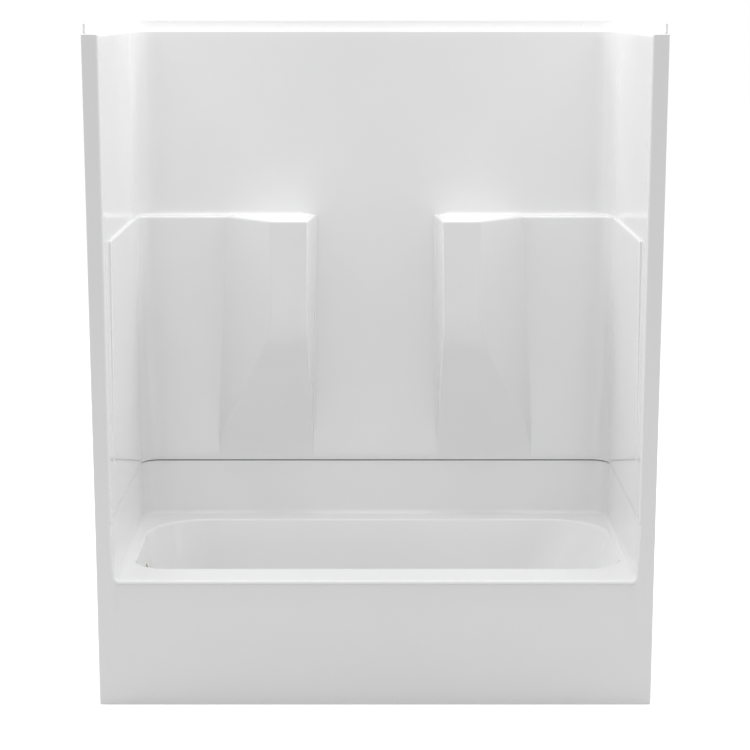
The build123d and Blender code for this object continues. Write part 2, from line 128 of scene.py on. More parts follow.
# A shell is gathered as points in front and behind, quads that hold for both, and the odd larger face.
def newShell():
    return {"front": [], "hidden": [], "quads": [], "patches": [], "count": 0}


# Puts two matching grids of points (rows, columns, 3) into a shell and gives back their vertex numbers.
def addGrid(shell, front, hidden, keep=None, flip=False):
    rows, columns = front.shape[:2]
    index = shell["count"] + np.arange(rows * columns).reshape(rows, columns)
    quads = np.stack([index[:-1, :-1], index[1:, :-1], index[1:, 1:], index[:-1, 1:]], -1)
    quads = quads[keep] if keep is not None else quads.reshape(-1, 4)
    shell["front"].append(front.reshape(-1, 3))
    shell["hidden"].append(hidden.reshape(-1, 3))
    shell["quads"].append(quads[:, ::-1] if flip else quads)
    shell["count"] += rows * columns
    return index


# The same grid on both sides of the unit.
def addBothSides(shell, front, hidden, keep=None, flip=False):
    right = addGrid(shell, front, hidden, keep, flip)
    left = addGrid(shell, front * mirrored, hidden * mirrored, keep, not flip)
    return right, left


# A round hole in the middle of a block of a grid: three rings of faces join the block's outline to a circle.
# Each circle point lies from the centre towards its outline point, in the plane of axes u and v.
def addHole(shell, grids, rows, columns, centres, radius, u, v, flip=False):
    top, bottom = rows
    first, last = columns
    ring = ([(top, c) for c in range(first, last)] + [(r, last) for r in range(top, bottom)]
            + [(bottom, c) for c in range(last, first, -1)] + [(r, first) for r in range(bottom, top, -1)])
    ring.append(ring[0])
    r, c = np.array(ring).T
    made = []
    for grid, centre in zip(grids, centres):
        outline = grid[r, c]
        arm = outline - centre
        alongU, alongV = arm @ u, arm @ v
        length = np.hypot(alongU, alongV)[:, None]
        circle = centre + radius * (alongU[:, None] * u + alongV[:, None] * v) / length
        shares = np.array([0.0, 0.35, 0.7, 1.0])[:, None, None]
        made.append(outline + (circle - outline) * shares)
    addGrid(shell, made[0], made[1], flip=flip)


# Leaves out the faces of a grid's block that a hole takes up.
def withoutBlock(keep, rows, columns):
    keep[rows[0]:rows[1], columns[0]:columns[1]] = False


# Makes the mesh of a shell: front faces, hidden faces turned the other way, and a rim along every free edge.
# Points of the front that share a weld cell become one, a quad that loses a corner that way becomes a
# triangle, and one that loses more is dropped, as is a point that no face uses. An edge is free where no face
# runs along it the other way. The rim is bare laminate like the hidden side, except above a height, where the
# gelcoat goes over it.
def shellObject(name, shell, materials, sprayedAbove=1e6):
    front, hidden = np.concatenate(shell["front"]), np.concatenate(shell["hidden"])
    keys = np.floor(front / weld + weldShift).astype(np.int64)
    _, first, same = np.unique(keys, axis=0, return_index=True, return_inverse=True)
    same = same.ravel()
    quads = same[np.concatenate(shell["quads"])]
    repeats = quads == np.roll(quads, -1, axis=1)
    crossed = (quads[:, 0] == quads[:, 2]) | (quads[:, 1] == quads[:, 3])
    whole = quads[(repeats.sum(1) == 0) & ~crossed]
    thin = (repeats.sum(1) == 1) & ~crossed
    spare = np.argmax(repeats[thin], axis=1)
    order = (spare[:, None] + np.arange(1, 4)) % 4
    triangles = np.take_along_axis(quads[thin], order, axis=1)
    patches = [list(dict.fromkeys(same[p].tolist())) for p in shell["patches"]]
    faces = whole.tolist() + triangles.tolist() + [p for p in patches if len(p) > 2]
    used, numbers = np.unique(np.concatenate(faces), return_inverse=True)
    first, count = first[used], len(used)
    faces = [face.tolist() for face in np.split(numbers, np.cumsum([len(f) for f in faces])[:-1])]
    edges = np.array([(a, b) for f in faces for a, b in zip(f, f[1:] + f[:1])])
    code, back = edges[:, 0] * count + edges[:, 1], edges[:, 1] * count + edges[:, 0]
    free = edges[~np.isin(code, back)]
    hiddenFaces = [[v + count for v in reversed(f)] for f in faces]
    rim = np.stack([free[:, 1], free[:, 0], free[:, 0] + count, free[:, 1] + count], -1).tolist()
    mesh = bpy.data.meshes.new(name)
    points = np.concatenate([front[first], hidden[first]]) / 1000
    mesh.from_pydata(points.tolist(), [], faces + hiddenFaces + rim)
    sprayed = (front[first][free, 2].min(-1) > sprayedAbove).astype(int)
    mesh.polygons.foreach_set("material_index", [0] * len(faces) + [1] * len(hiddenFaces)
                              + (1 - sprayed).tolist())
    for material in materials:
        mesh.materials.append(material)
    mesh.validate()
    mesh.shade_smooth()
    mesh.set_sharp_from_angle(angle=creaseAngle)
    piece = bpy.data.objects.new(name, mesh)
    bpy.context.collection.objects.link(piece)
    print(name, "has", len(faces), "faces in front and", len(rim), "along its edges")
    return piece


# Puts a height beside a plan's (x, y) points.
def lifted(plan, z):
    return np.concatenate([plan, np.broadcast_to(z, plan.shape[:-1])[..., None]], -1)


# An sRGB colour as linear light: c / 12.92 near black, and otherwise (c + 0.055) / 1.055 to the power of 2.4.
def linear(hexColour):
    parts = [int(hexColour[i:i + 2], 16) / 255 for i in (1, 3, 5)]
    return (*[p / 12.92 if p <= 0.04045 else ((p + 0.055) / 1.055) ** 2.4 for p in parts], 1.0)


# Adds a node with its settings; an input that is another node's output is linked.
def addNode(tree, kind, inputs=None, **settings):
    node = tree.nodes.new(kind)
    for name, value in settings.items():
        setattr(node, name, value)
    for name, value in (inputs or {}).items():
        if isinstance(value, bpy.types.NodeSocket):
            tree.links.new(value, node.inputs[name])
        else:
            node.inputs[name].default_value = value
    return node


mixA, mixB, mixResult = 6, 7, 2              # the colour sockets of a Mix node


# An empty material and its node tree.
def newMaterial(name):
    material = bpy.data.materials.new(name)
    material.use_nodes = True
    tree = material.node_tree
    tree.nodes.clear()
    return material, tree


# Ends a material in one Principled shader.
def finishMaterial(tree, inputs):
    shader = addNode(tree, "ShaderNodeBsdfPrincipled", inputs)
    out = addNode(tree, "ShaderNodeOutputMaterial")
    tree.links.new(shader.outputs["BSDF"], out.inputs["Surface"])


# Polyester gelcoat, sprayed into a polished mould: hard gloss over a faint print of the strands behind it,
# with slow ripples of under a tenth of a millimetre, and wiping that leaves some of it a little duller.
def gelcoatMaterial():
    material, tree = newMaterial("gelcoat")
    place = addNode(tree, "ShaderNodeTexCoord").outputs["Object"]
    ripple = addNode(tree, "ShaderNodeTexNoise", {"Vector": place, "Scale": 1 / 0.060, "Detail": 1.0})
    printed = addNode(tree, "ShaderNodeTexNoise", {"Vector": place, "Scale": 1 / 0.009, "Detail": 2.0})
    slow = addNode(tree, "ShaderNodeBump", {"Height": ripple.outputs["Fac"], "Distance": 0.00012,
                                            "Strength": 0.5})
    fine = addNode(tree, "ShaderNodeBump", {"Height": printed.outputs["Fac"], "Distance": 0.00002,
                                            "Strength": 0.5, "Normal": slow.outputs["Normal"]})
    wiped = addNode(tree, "ShaderNodeTexNoise", {"Vector": place, "Scale": 1 / 0.150, "Detail": 4.0})
    rough = addNode(tree, "ShaderNodeMapRange", {"Value": wiped.outputs["Fac"], "From Min": 0.3,
                                                 "From Max": 0.7, "To Min": 0.05, "To Max": 0.10})
    tint = addNode(tree, "ShaderNodeMix", {"Factor": wiped.outputs["Fac"], mixA: linear("#f3f3f3"),
                                           mixB: linear("#f0f0f1")}, data_type="RGBA")
    finishMaterial(tree, {"Base Color": tint.outputs[mixResult], "Roughness": rough.outputs["Result"],
                          "IOR": 1.53, "Normal": fine.outputs["Normal"]})
    return material


# Chopped strands in polyester resin, sprayed and rolled by hand: milky resin with bundles of glass about
# 50 mm long and 1 mm wide lying every way, and darker pools of resin. The bundles are drawn 65 mm by 4.5 mm,
# or they wouldn't show.
def laminateMaterial():
    material, tree = newMaterial("choppedStrandLaminate")
    place = addNode(tree, "ShaderNodeTexCoord").outputs["Object"]
    height = None
    strand = (0.065, 0.0045, 0.0045)
    for turn in ((0.3, 0.2, 0.1), (1.2, 0.5, 0.9), (0.4, 1.4, 2.0), (2.1, 0.8, 2.6), (0.9, 2.3, 1.5),
                 (1.7, 1.9, 0.4)):
        turned = addNode(tree, "ShaderNodeMapping", {"Vector": place, "Rotation": turn, "Scale": strand},
                         vector_type="TEXTURE")
        strands = addNode(tree, "ShaderNodeTexNoise", {"Vector": turned.outputs["Vector"], "Scale": 1.0,
                                                       "Detail": 0.0})
        if height is None:
            height = strands.outputs["Fac"]
        else:
            height = addNode(tree, "ShaderNodeMath", {0: height, 1: strands.outputs["Fac"]},
                             operation="MAXIMUM").outputs["Value"]
    ramp = addNode(tree, "ShaderNodeValToRGB", {"Fac": height})
    ramp.color_ramp.elements[0].position, ramp.color_ramp.elements[0].color = 0.52, linear("#b3ae98")
    ramp.color_ramp.elements[1].position, ramp.color_ramp.elements[1].color = 0.80, linear("#e6e3d6")
    pools = addNode(tree, "ShaderNodeTexNoise", {"Vector": place, "Scale": 1 / 0.080, "Detail": 3.0})
    stain = addNode(tree, "ShaderNodeMapRange", {"Value": pools.outputs["Fac"], "From Min": 0.35,
                                                 "From Max": 0.7, "To Min": 0.0, "To Max": 0.45})
    colour = addNode(tree, "ShaderNodeMix", {"Factor": stain.outputs["Result"], mixA: ramp.outputs["Color"],
                                             mixB: linear("#c9c2a6")}, data_type="RGBA")
    bump = addNode(tree, "ShaderNodeBump", {"Height": height, "Distance": 0.0012, "Strength": 0.8})
    finishMaterial(tree, {"Base Color": colour.outputs[mixResult], "Roughness": 0.42, "IOR": 1.55,
                          "Normal": bump.outputs["Normal"]})
    return material


# Sawn spruce: pale, with growth rings about 4 mm apart running along the piece, darker in the late wood, and
# rough fibres about 1 mm wide and 60 mm long. The grain runs along one axis, which turn brings to z.
def softwoodMaterial(name, turn):
    material, tree = newMaterial(name)
    place = addNode(tree, "ShaderNodeTexCoord").outputs["Object"]
    turned = addNode(tree, "ShaderNodeMapping", {"Vector": place, "Rotation": turn})
    drawn = addNode(tree, "ShaderNodeMapping", {"Vector": turned.outputs["Vector"],
                                                "Location": (0.31, 0.17, 0), "Scale": (1, 1, 0.08)})
    rings = addNode(tree, "ShaderNodeTexWave", {"Vector": drawn.outputs["Vector"], "Scale": 1 / 0.004 / 3.2,
                                                "Distortion": 5.0, "Detail": 2.0, "Detail Scale": 0.02},
                    wave_type="RINGS", rings_direction="Z", wave_profile="SAW")
    fibres = addNode(tree, "ShaderNodeMapping", {"Vector": turned.outputs["Vector"],
                                                 "Scale": (1 / 0.0012, 1 / 0.0012, 1 / 0.060)})
    fibre = addNode(tree, "ShaderNodeTexNoise", {"Vector": fibres.outputs["Vector"], "Scale": 1.0,
                                                 "Detail": 2.0})
    ramp = addNode(tree, "ShaderNodeValToRGB", {"Fac": rings.outputs["Fac"]})
    ramp.color_ramp.elements[0].position, ramp.color_ramp.elements[0].color = 0.15, linear("#ecd9b4")
    ramp.color_ramp.elements[1].position, ramp.color_ramp.elements[1].color = 0.97, linear("#cda876")
    colour = addNode(tree, "ShaderNodeMix", {"Factor": fibre.outputs["Fac"], mixA: ramp.outputs["Color"],
                                             mixB: linear("#e0c79c")}, data_type="RGBA")
    bump = addNode(tree, "ShaderNodeBump", {"Height": fibre.outputs["Fac"], "Distance": 0.0004,
                                            "Strength": 0.6})
    finishMaterial(tree, {"Base Color": colour.outputs[mixResult], "Roughness": 0.72,
                          "Normal": bump.outputs["Normal"]})
    return material


# Oriented strand board: overlapping flakes of softwood about 60 mm by 16 mm, pressed flat in amber resin.
def strandBoardMaterial():
    material, tree = newMaterial("orientedStrandBoard")
    place = addNode(tree, "ShaderNodeTexCoord").outputs["Object"]
    layers = []
    flake = (0.060, 0.016, 0.016)
    for turn in ((0.15, 0.1, 0.3), (0.1, 0.2, 1.3), (0.3, 0.1, 2.4)):
        turned = addNode(tree, "ShaderNodeMapping", {"Vector": place, "Rotation": turn, "Scale": flake},
                         vector_type="TEXTURE")
        flakes = addNode(tree, "ShaderNodeTexVoronoi", {"Vector": turned.outputs["Vector"], "Scale": 1.0})
        parts = addNode(tree, "ShaderNodeSeparateColor", {"Color": flakes.outputs["Color"]})
        layers.append(parts.outputs["Red"])
    over = addNode(tree, "ShaderNodeMath", {0: layers[0], 1: layers[1]}, operation="MAXIMUM")
    top = addNode(tree, "ShaderNodeMath", {0: over.outputs["Value"], 1: layers[2]}, operation="MAXIMUM")
    ramp = addNode(tree, "ShaderNodeValToRGB", {"Fac": top.outputs["Value"]})
    ramp.color_ramp.elements[0].position, ramp.color_ramp.elements[0].color = 0.30, linear("#8d6436")
    ramp.color_ramp.elements[1].position, ramp.color_ramp.elements[1].color = 1.00, linear("#dcbd88")
    middle = ramp.color_ramp.elements.new(0.72)
    middle.color = linear("#bf965c")
    grain = addNode(tree, "ShaderNodeMapping", {"Vector": place, "Rotation": (0.1, 0.1, 0.4),
                                                "Scale": (1 / 0.040, 1 / 0.001, 1 / 0.001)})
    fibre = addNode(tree, "ShaderNodeTexNoise", {"Vector": grain.outputs["Vector"], "Scale": 1.0,
                                                 "Detail": 1.0})
    colour = addNode(tree, "ShaderNodeMix", {"Factor": fibre.outputs["Fac"], mixA: ramp.outputs["Color"],
                                             mixB: linear("#c9a367")}, data_type="RGBA")
    bump = addNode(tree, "ShaderNodeBump", {"Height": top.outputs["Value"], "Distance": 0.0006,
                                            "Strength": 0.7})
    finishMaterial(tree, {"Base Color": colour.outputs[mixResult], "Roughness": 0.62,
                          "Normal": bump.outputs["Normal"]})
    return material


# Steel fasteners, zinc plated and passivated: a grey metal with a faint yellow mottle.
def zincMaterial():
    material, tree = newMaterial("zincPlatedSteel")
    place = addNode(tree, "ShaderNodeTexCoord").outputs["Object"]
    mottle = addNode(tree, "ShaderNodeTexNoise", {"Vector": place, "Scale": 1 / 0.003, "Detail": 3.0})
    colour = addNode(tree, "ShaderNodeMix", {"Factor": mottle.outputs["Fac"], mixA: linear("#b4bac0"),
                                             mixB: linear("#cfcbb9")}, data_type="RGBA")
    rough = addNode(tree, "ShaderNodeMapRange", {"Value": mottle.outputs["Fac"], "To Min": 0.25,
                                                 "To Max": 0.45})
    finishMaterial(tree, {"Base Color": colour.outputs[mixResult], "Metallic": 1.0,
                          "Roughness": rough.outputs["Result"]})
    return material


# Closed-cell foam strip, cut from sheet: matt dark grey with cut cells under a millimetre across.
def foamMaterial():
    material, tree = newMaterial("closedCellFoam")
    place = addNode(tree, "ShaderNodeTexCoord").outputs["Object"]
    cells = addNode(tree, "ShaderNodeTexVoronoi", {"Vector": place, "Scale": 1 / 0.0009})
    colour = addNode(tree, "ShaderNodeMix", {"Factor": cells.outputs["Distance"], mixA: linear("#1d1d1f"),
                                             mixB: linear("#38383a")}, data_type="RGBA")
    bump = addNode(tree, "ShaderNodeBump", {"Height": cells.outputs["Distance"], "Distance": 0.0004})
    finishMaterial(tree, {"Base Color": colour.outputs[mixResult], "Roughness": 0.95,
                          "Normal": bump.outputs["Normal"]})
    return material


gelcoat, choppedStrand = gelcoatMaterial(), laminateMaterial()
softwood = {
    "x": softwoodMaterial("spruceAlongX", (0, math.pi / 2, 0)),
    "y": softwoodMaterial("spruceAlongY", (math.pi / 2, 0, 0)),
    "z": softwoodMaterial("spruceAlongZ", (0, 0, 0)),
}
strandBoard, zincSteel, gasketFoam = strandBoardMaterial(), zincMaterial(), foamMaterial()
print("finishes made")


# The wall section: its walls stand on the tub's seam flange and end in a ledge with a nailing flange at the
# top. They are plain above the ledge at 1280 mm. Below it a back panel, two side panels and two shelves stand
# out from them.
wall = {
    "half": 717.0, "back": 344.0,                  # inside of the side walls and of the back wall
    "cornerLow": (458.0, 48.0), "cornerHigh": (1854.0, 76.0),   # height and radius of the back corners
    "top": 1829.0, "flangeTop": 1854.0,            # top ledge and nailing flange
    "topRadii": [8.0] * 8 + [3.0, 2.0],            # edge of the top ledge by line of the plan
    "flangeInside": (757.0, 376.0, 108.0),         # nailing flange's half width, back and corner radius
    "flangeCove": 4.0,                             # radius between the top ledge and the nailing flange
    "ledge": 1280.0,                               # height of the ledge and of the shelves' tops
    "cove": 15.0, "coveEnd": (1.0, 55.0),          # radius between wall and ledge, and how it runs out
    "coveRoom": 0.5,                               # the most of the ledge's depth that it may take
    "noseRadii": [0, 8.0, 8.0, 8.0, 8.0, 4.0, 3.0, 0, 0, 0],    # front edge of the ledge by line of the plan
    "panelBack": ((500, 611, 1280, 1480), (0, 0, 32, 41.6)),    # depth of the back panel by height
    "panelSide": ((500, 667, 1280, 1480), (0, 0, 8, 10.6)),     # depth of the side panels by height
    "panelSoft": 10,                               # how far the panels' bends are rounded
    "panelFront": (-297.0, -297.7),                # front end of the side panels, on panel and on wall
    "panelSlant": (113, 10),                       # and its direction, across and forwards
    # depth of the shelves by height, and how far their bends are rounded
    "shelfFront": ((400, 560, 620, 700, 860, 960, 1480), (0, 0, 10, 42, 118, 152, 152)),
    "shelfSoft": 45, "shelfDepth": 152.0,
    "shelfInner": (180.0, 198.0),                  # x of the shelf's inner side at the wall and at its front
    "shelfDraft": ((530, 1280), (11.5, 0)),        # how far that side moves out towards the foot, by height
    "shelfOuter": 310.0, "facetOuter": 444.0,      # x where the shelf's front and its facet end
    "softRadii": [6.0, 6.0, 16.0, 14.0, 40.0, 3.0, 3.0],        # between the first eight lines of the plan
    "shelfRoom": 0.4, "facetRoom": 0.6,            # the most of a shelf's or panel's depth that they may take
    "cornerChange": (611.0, 1100.0),               # heights over which the back corner takes its soft radius
    "foot": 521.0, "columnFoot": 518.05,           # visible side of the seam flange, and end of the columns
    "holeRadius": 2.5, "backHoles": (203.2, 609.6), "sideHoles": (200.0, -200.0), "holeHeight": 1841.5,
    "holeGrid": (-6.0, -2.0, 2.0, 6.0),            # rows and columns of points round a screw hole
    # rows of points: the wall above the ledge, its cove, the ledge, its front edge, the roll and the flange
    # at the foot, the edge of the top ledge, and the way from there to the nailing flange and up into it
    "wallRows": 26, "coveRows": 8, "ledgeRows": 5, "noseRows": 8, "rollRows": 5, "flangeRows": 5,
    "topRows": 8, "railSteps": 4, "railRows": 6,
    # heights of the rows below the ledge, closest together where the shelves and the panels bend
    "levels": [1268, 1255, 1238, 1215, 1185, 1150, 1110, 1070, 1040, 1018, 1004, 995, 986, 977, 966, 950, 930,
               908, 890, 876, 866, 857, 847, 834, 815, 790, 760, 730, 704, 684, 668, 654, 642, 632, 623, 615,
               608, 602, 596, 590, 584, 576, 562, 544],
}
# Lines of the plan, from the middle of the back to the end of the right lip: back wall, shelf's inner side,
# shelf's front, facet, back panel, side panel, side panel's front, side wall, column's face and lip.
wallHeadings = np.array([(1, 0), (18, -152), (1, 0), (134, 120), (1, 0), (0, -1),
                         (wall["panelSlant"][0], -wall["panelSlant"][1]), (0, -1), (1, 0), (0, 1)], float)
wallHeadings /= np.linalg.norm(wallHeadings, axis=1)[:, None]
wallPlaces = [evenPlaces(n) for n in (7, 9, 8, 10, 14, 26, 2, 8, 6, 4)]
wallArcs = [6, 7, 7, 5, 14, 3, 3, 8, 4]
wallLines = len(wallHeadings)
lineStart = np.cumsum([0] + [len(p) + n for p, n in zip(wallPlaces, wallArcs)])
# Columns of points where the back panel, its corner, the side panel, its front end and the side wall start
panelStart, sideStart, plainStart = lineStart[4], lineStart[5], lineStart[7]
cornerStart, sideEnd = panelStart + len(wallPlaces[4]), sideStart + len(wallPlaces[5])
plainEnd = plainStart + len(wallPlaces[7])
cornerArc, columnArc = wallArcs[4], wallArcs[7]
flangeColumn = plainStart + 3            # the column of points at the front end of the flanges


# Radius of the plain back corner at a height: it changes evenly between its two given heights.
def wallCornerRadius(z):
    return np.interp(z, *zip(wall["cornerLow"], wall["cornerHigh"]))


# Plan below the ledge at each height: the lines above, moved to the hidden side by their offsets. Two columns
# of points 1 mm apart are then brought to the front end of the flanges.
def lowerPlan(z, offsets):
    panelBack = softened(z, *wall["panelBack"], wall["panelSoft"])
    panelSide = softened(z, *wall["panelSide"], wall["panelSoft"])
    shelfFront = np.maximum(softened(z, *wall["shelfFront"], wall["shelfSoft"]), panelBack)
    draft = np.interp(z, *wall["shelfDraft"])
    back, half, front = wall["back"], wall["half"], unit["front"]
    inner, reach = wall["shelfInner"][0] + draft, wall["shelfInner"][1] - wall["shelfInner"][0]
    facet = (wall["facetOuter"] - wall["shelfOuter"]) / (wall["shelfDepth"] - wall["panelBack"][1][2])
    zero = np.zeros_like(z)
    across, forwards = wall["panelSlant"]
    panelFront = wall["panelFront"][0] - (wall["panelSide"][1][2] - panelSide) * forwards / across
    corners = np.stack([
        np.stack([zero, zero + back], -1),
        np.stack([inner, zero + back], -1),
        np.stack([inner + reach * shelfFront / wall["shelfDepth"], back - shelfFront], -1),
        np.stack([wall["shelfOuter"] + facet * (wall["shelfDepth"] - shelfFront), back - shelfFront], -1),
        np.stack([wall["shelfOuter"] + facet * (wall["shelfDepth"] - panelBack), back - panelBack], -1),
        np.stack([half - panelSide, back - panelBack], -1),
        np.stack([half - panelSide, panelFront], -1),
        np.stack([zero + half, zero + wall["panelFront"][1]], -1),
        np.stack([zero + half, zero + front], -1),
        np.stack([zero + unit["halfWidth"], zero + front], -1),
        np.stack([zero + unit["halfWidth"], zero + unit["lipBack"]], -1),
    ], -2)
    soft, room = wall["softRadii"], wall["shelfRoom"]
    plainCorner = wallCornerRadius(z)
    radii = np.stack([
        *[np.minimum(radius, room * shelfFront) for radius in soft[:3]],
        np.minimum(soft[3], wall["facetRoom"] * (shelfFront - panelBack)),
        plainCorner + (soft[4] - plainCorner) * smoothStep(z, *wall["cornerChange"]),
        *[np.minimum(radius, room * panelSide) for radius in soft[5:]],
        zero + unit["edge"], zero + unit["outerEdge"],
    ], -1)
    headings = np.broadcast_to(wallHeadings, (*z.shape, *wallHeadings.shape))
    offsets = np.broadcast_to(offsets, (*z.shape, wallLines))
    plan = roundedPath(corners, headings, offsets, radii, wallPlaces, wallArcs)
    plan[..., flangeColumn, 1] = unit["flangeFront"]
    plan[..., flangeColumn + 1, 1] = unit["flangeFront"] - 1
    return plan


# Plan above the ledge: two straights and a quarter circle of the corner's radius, all moved out by the
# offset. Its columns of points stand over those of the ledge's edge, and are spread evenly between there and
# the larger corner. z and offset may differ from point to point.
def upperPlan(z, offset, edge, columns):
    plan = columns.copy()
    back, half = wall["back"] + offset, wall["half"] + offset
    radius = wallCornerRadius(z)
    middleX, middleY = wall["half"] - radius, wall["back"] - radius
    x, y = edge[:, 0], edge[:, 1]
    cut = slice(0, cornerStart)
    start = x[panelStart]
    spread = start + (x - start) * (middleX - start) / (x[cornerStart] - start)
    plan[..., cut, 0] = np.where(np.arange(len(x)) < panelStart, x, spread)[..., cut]
    plan[..., cut, 1] = back[..., cut]
    cut = slice(cornerStart, sideStart)
    angle = math.pi / 2 * evenPlaces(cornerArc)
    plan[..., cut, 0] = middleX[..., cut] + (radius + offset)[..., cut] * np.sin(angle)
    plan[..., cut, 1] = middleY[..., cut] + (radius + offset)[..., cut] * np.cos(angle)
    end = y[sideEnd]
    spread = end + (y - end) * (middleY - end) / (y[sideStart] - end)
    cut = slice(sideStart, plainEnd)
    plan[..., cut, 0] = half[..., cut]
    plan[..., cut, 1] = np.where(np.arange(len(y)) < sideEnd, spread, y)[..., cut]
    return plan


# The rows of the wall section's right half, from its top edge down to its seam flange, and apart from them
# the rows of the top ledge's edge. An arc of radius r moves a row r (1 - cos) one way and r (1 - sin) the
# other.
def wallGrids(grow):
    # The front edge of the ledge
    noseLines = np.maximum(np.array(wall["noseRadii"]) - grow, 0)
    nose = alongPath(noseLines, wallPlaces, wallArcs)
    ledge = wall["ledge"] - grow
    turn = np.linspace(0, math.pi / 2, wall["noseRows"])
    noseZ = wall["ledge"] - max(wall["noseRadii"]) * (1 - np.cos(turn))
    noseRows = lowerPlan(noseZ, grow + noseLines * (1 - np.sin(turn))[:, None])
    noseRows = lifted(noseRows, ledge - nose * (1 - np.cos(turn))[:, None])
    edge = noseRows[0, :, :2]

    # The wall above it, the cove at that wall's foot and the ledge. The cove leaves room on a narrow ledge.
    topLines = np.maximum(np.array(wall["topRadii"]) - grow, 0)
    topRadius = alongPath(topLines, wallPlaces, wallArcs)
    plain = lowerPlan(np.full(1, wall["ledge"]), np.full(wallLines, grow))[0]
    base = upperPlan(np.full(len(edge), wall["ledge"]), np.full(len(edge), grow), edge, plain)
    depth = np.linalg.norm(edge - base, axis=-1)
    fullCove = wall["cove"] * smoothStep(edge[:, 0] - wall["shelfInner"][0], *wall["coveEnd"])
    cove = np.minimum(fullCove, wall["coveRoom"] * np.maximum(depth - grow, 0))
    cove = np.minimum(cove + grow, depth)
    share = np.linspace(0, 1, wall["wallRows"])[:, None]
    wallTop = wall["top"] - grow - topRadius
    z = wallTop + (ledge + cove - wallTop) * share
    wallRows = lifted(upperPlan(z, np.full(z.shape, grow), edge, np.broadcast_to(plain, (*z.shape, 2))), z)
    foot = wallRows[-1, :, :2]
    inward = (edge - foot) / np.maximum(np.linalg.norm(edge - foot, axis=-1), 1e-9)[:, None]
    bend = np.linspace(0, math.pi / 2, wall["coveRows"])[1:, None]
    coveRows = lifted(foot + inward * (cove * (1 - np.cos(bend)))[..., None],
                      ledge + cove * (1 - np.sin(bend)))
    share = np.linspace(0, 1, wall["ledgeRows"])[1:-1, None, None]
    ledgeRows = coveRows[-1] + (noseRows[0] - coveRows[-1]) * share

    # The wall below the ledge, with the shelves and panels
    wallFoot = wall["foot"] + max(unit["seamRoll"], grow)
    levels = np.array(wall["levels"] + [wallFoot])
    lowerRows = lifted(lowerPlan(levels, np.full(wallLines, grow)), levels[:, None])

    # The roll out into the seam flange, and the flange. Forward of its end the rows go straight down instead,
    # and the columns reach lower than the flange.
    roll = max(unit["seamRoll"] - grow, 0)
    bend = np.linspace(0, math.pi / 2, wall["rollRows"])[1:]
    footRadius = wallCornerRadius(np.array(wall["foot"]))
    rolled = lowerPlan(np.full(len(bend), wall["foot"]), (grow + roll * (1 - np.cos(bend)))[:, None])
    rollRows = lifted(rolled, (wallFoot - roll * np.sin(bend))[:, None])
    outer = flangeEdge(rolled[-1], wall["half"] - footRadius, wall["back"] - footRadius, *unit["seamReach"])
    share = np.linspace(0, 1, wall["flangeRows"])[1:, None, None]
    flat = lifted(outer, wall["foot"] + grow)
    flangeRows = rollRows[-1] + (flat - rollRows[-1]) * share
    seamRows = np.concatenate([rollRows, flangeRows])
    column = np.arange(len(edge))
    lowering = wall["foot"] + (wall["columnFoot"] - wall["foot"]) * (column - plainEnd) / columnArc
    end = np.where(column < plainEnd, wall["foot"],
                   np.where(column < plainEnd + columnArc, lowering, wall["columnFoot"]))
    straight = np.broadcast_to(lowerRows[-1], seamRows.shape).copy()
    share = np.minimum(np.arange(1, len(seamRows) + 1) / len(rollRows), 1)[:, None]
    straight[..., 2] = wallFoot + (end - wallFoot) * share
    seamRows = np.where((column > flangeColumn)[:, None], straight, seamRows)
    rows = np.concatenate([wallRows, coveRows, ledgeRows, noseRows, lowerRows, seamRows])
    flangeFirst = len(rows) - len(flangeRows) - 1

    # The edge of the top ledge
    bend = np.linspace(math.pi / 2, 0, wall["topRows"])
    arcZ = wall["top"] - grow - topRadius * (1 - np.cos(bend))[:, None]
    arcLines = grow + topLines * (1 - np.sin(bend))[:, None]
    plan = lowerPlan(np.full(len(bend), wall["ledge"]), arcLines)
    offset = grow + topRadius * (1 - np.sin(bend))[:, None]
    topRows = lifted(upperPlan(np.maximum(arcZ, wallTop), offset, edge, plan), arcZ)[::-1]
    return rows, topRows, flangeFirst


# The outer edge of a flange: each point of its inner edge is taken across to a larger U, whose back, corner
# and side are reached by the same columns of points and in the same shares of their length.
def flangeEdge(inner, middleX, middleY, half, back, radius):
    x, y = inner[:, 0], inner[:, 1]
    flange = inner.copy()
    angle = math.pi / 2 * evenPlaces(cornerArc)
    flange[:cornerStart, 0] = x[:cornerStart] * (half - radius) / middleX
    flange[:cornerStart, 1] = back
    flange[cornerStart:sideStart, 0] = half - radius + radius * np.sin(angle)
    flange[cornerStart:sideStart, 1] = back - radius + radius * np.cos(angle)
    low, alongSide = unit["flangeFront"], slice(sideStart, plainEnd)
    flange[alongSide, 0] = half
    flange[alongSide, 1] = low + (y[alongSide] - low) * (back - radius - low) / (middleY - low)
    return flange


# Evenly spaced places for the nailing flange's columns of points, except round its screw holes, where four
# of them lie 4 mm apart. Gives the places, and the number of the first of the four at each hole.
def flangeSpacing(start, end, startIndex, endIndex, holes):
    knots, places = [startIndex], [start]
    sign = 1 if end > start else -1
    for hole in holes:
        middle = int(round(startIndex + (endIndex - startIndex) * (hole - start) / (end - start)))
        knots += [middle - 1, middle, middle + 1, middle + 2]
        places += [hole + sign * place for place in wall["holeGrid"]]
    knots.append(endIndex)
    places.append(end)
    return np.interp(np.arange(startIndex, endIndex + 1), knots, places), knots[1:-1:4]


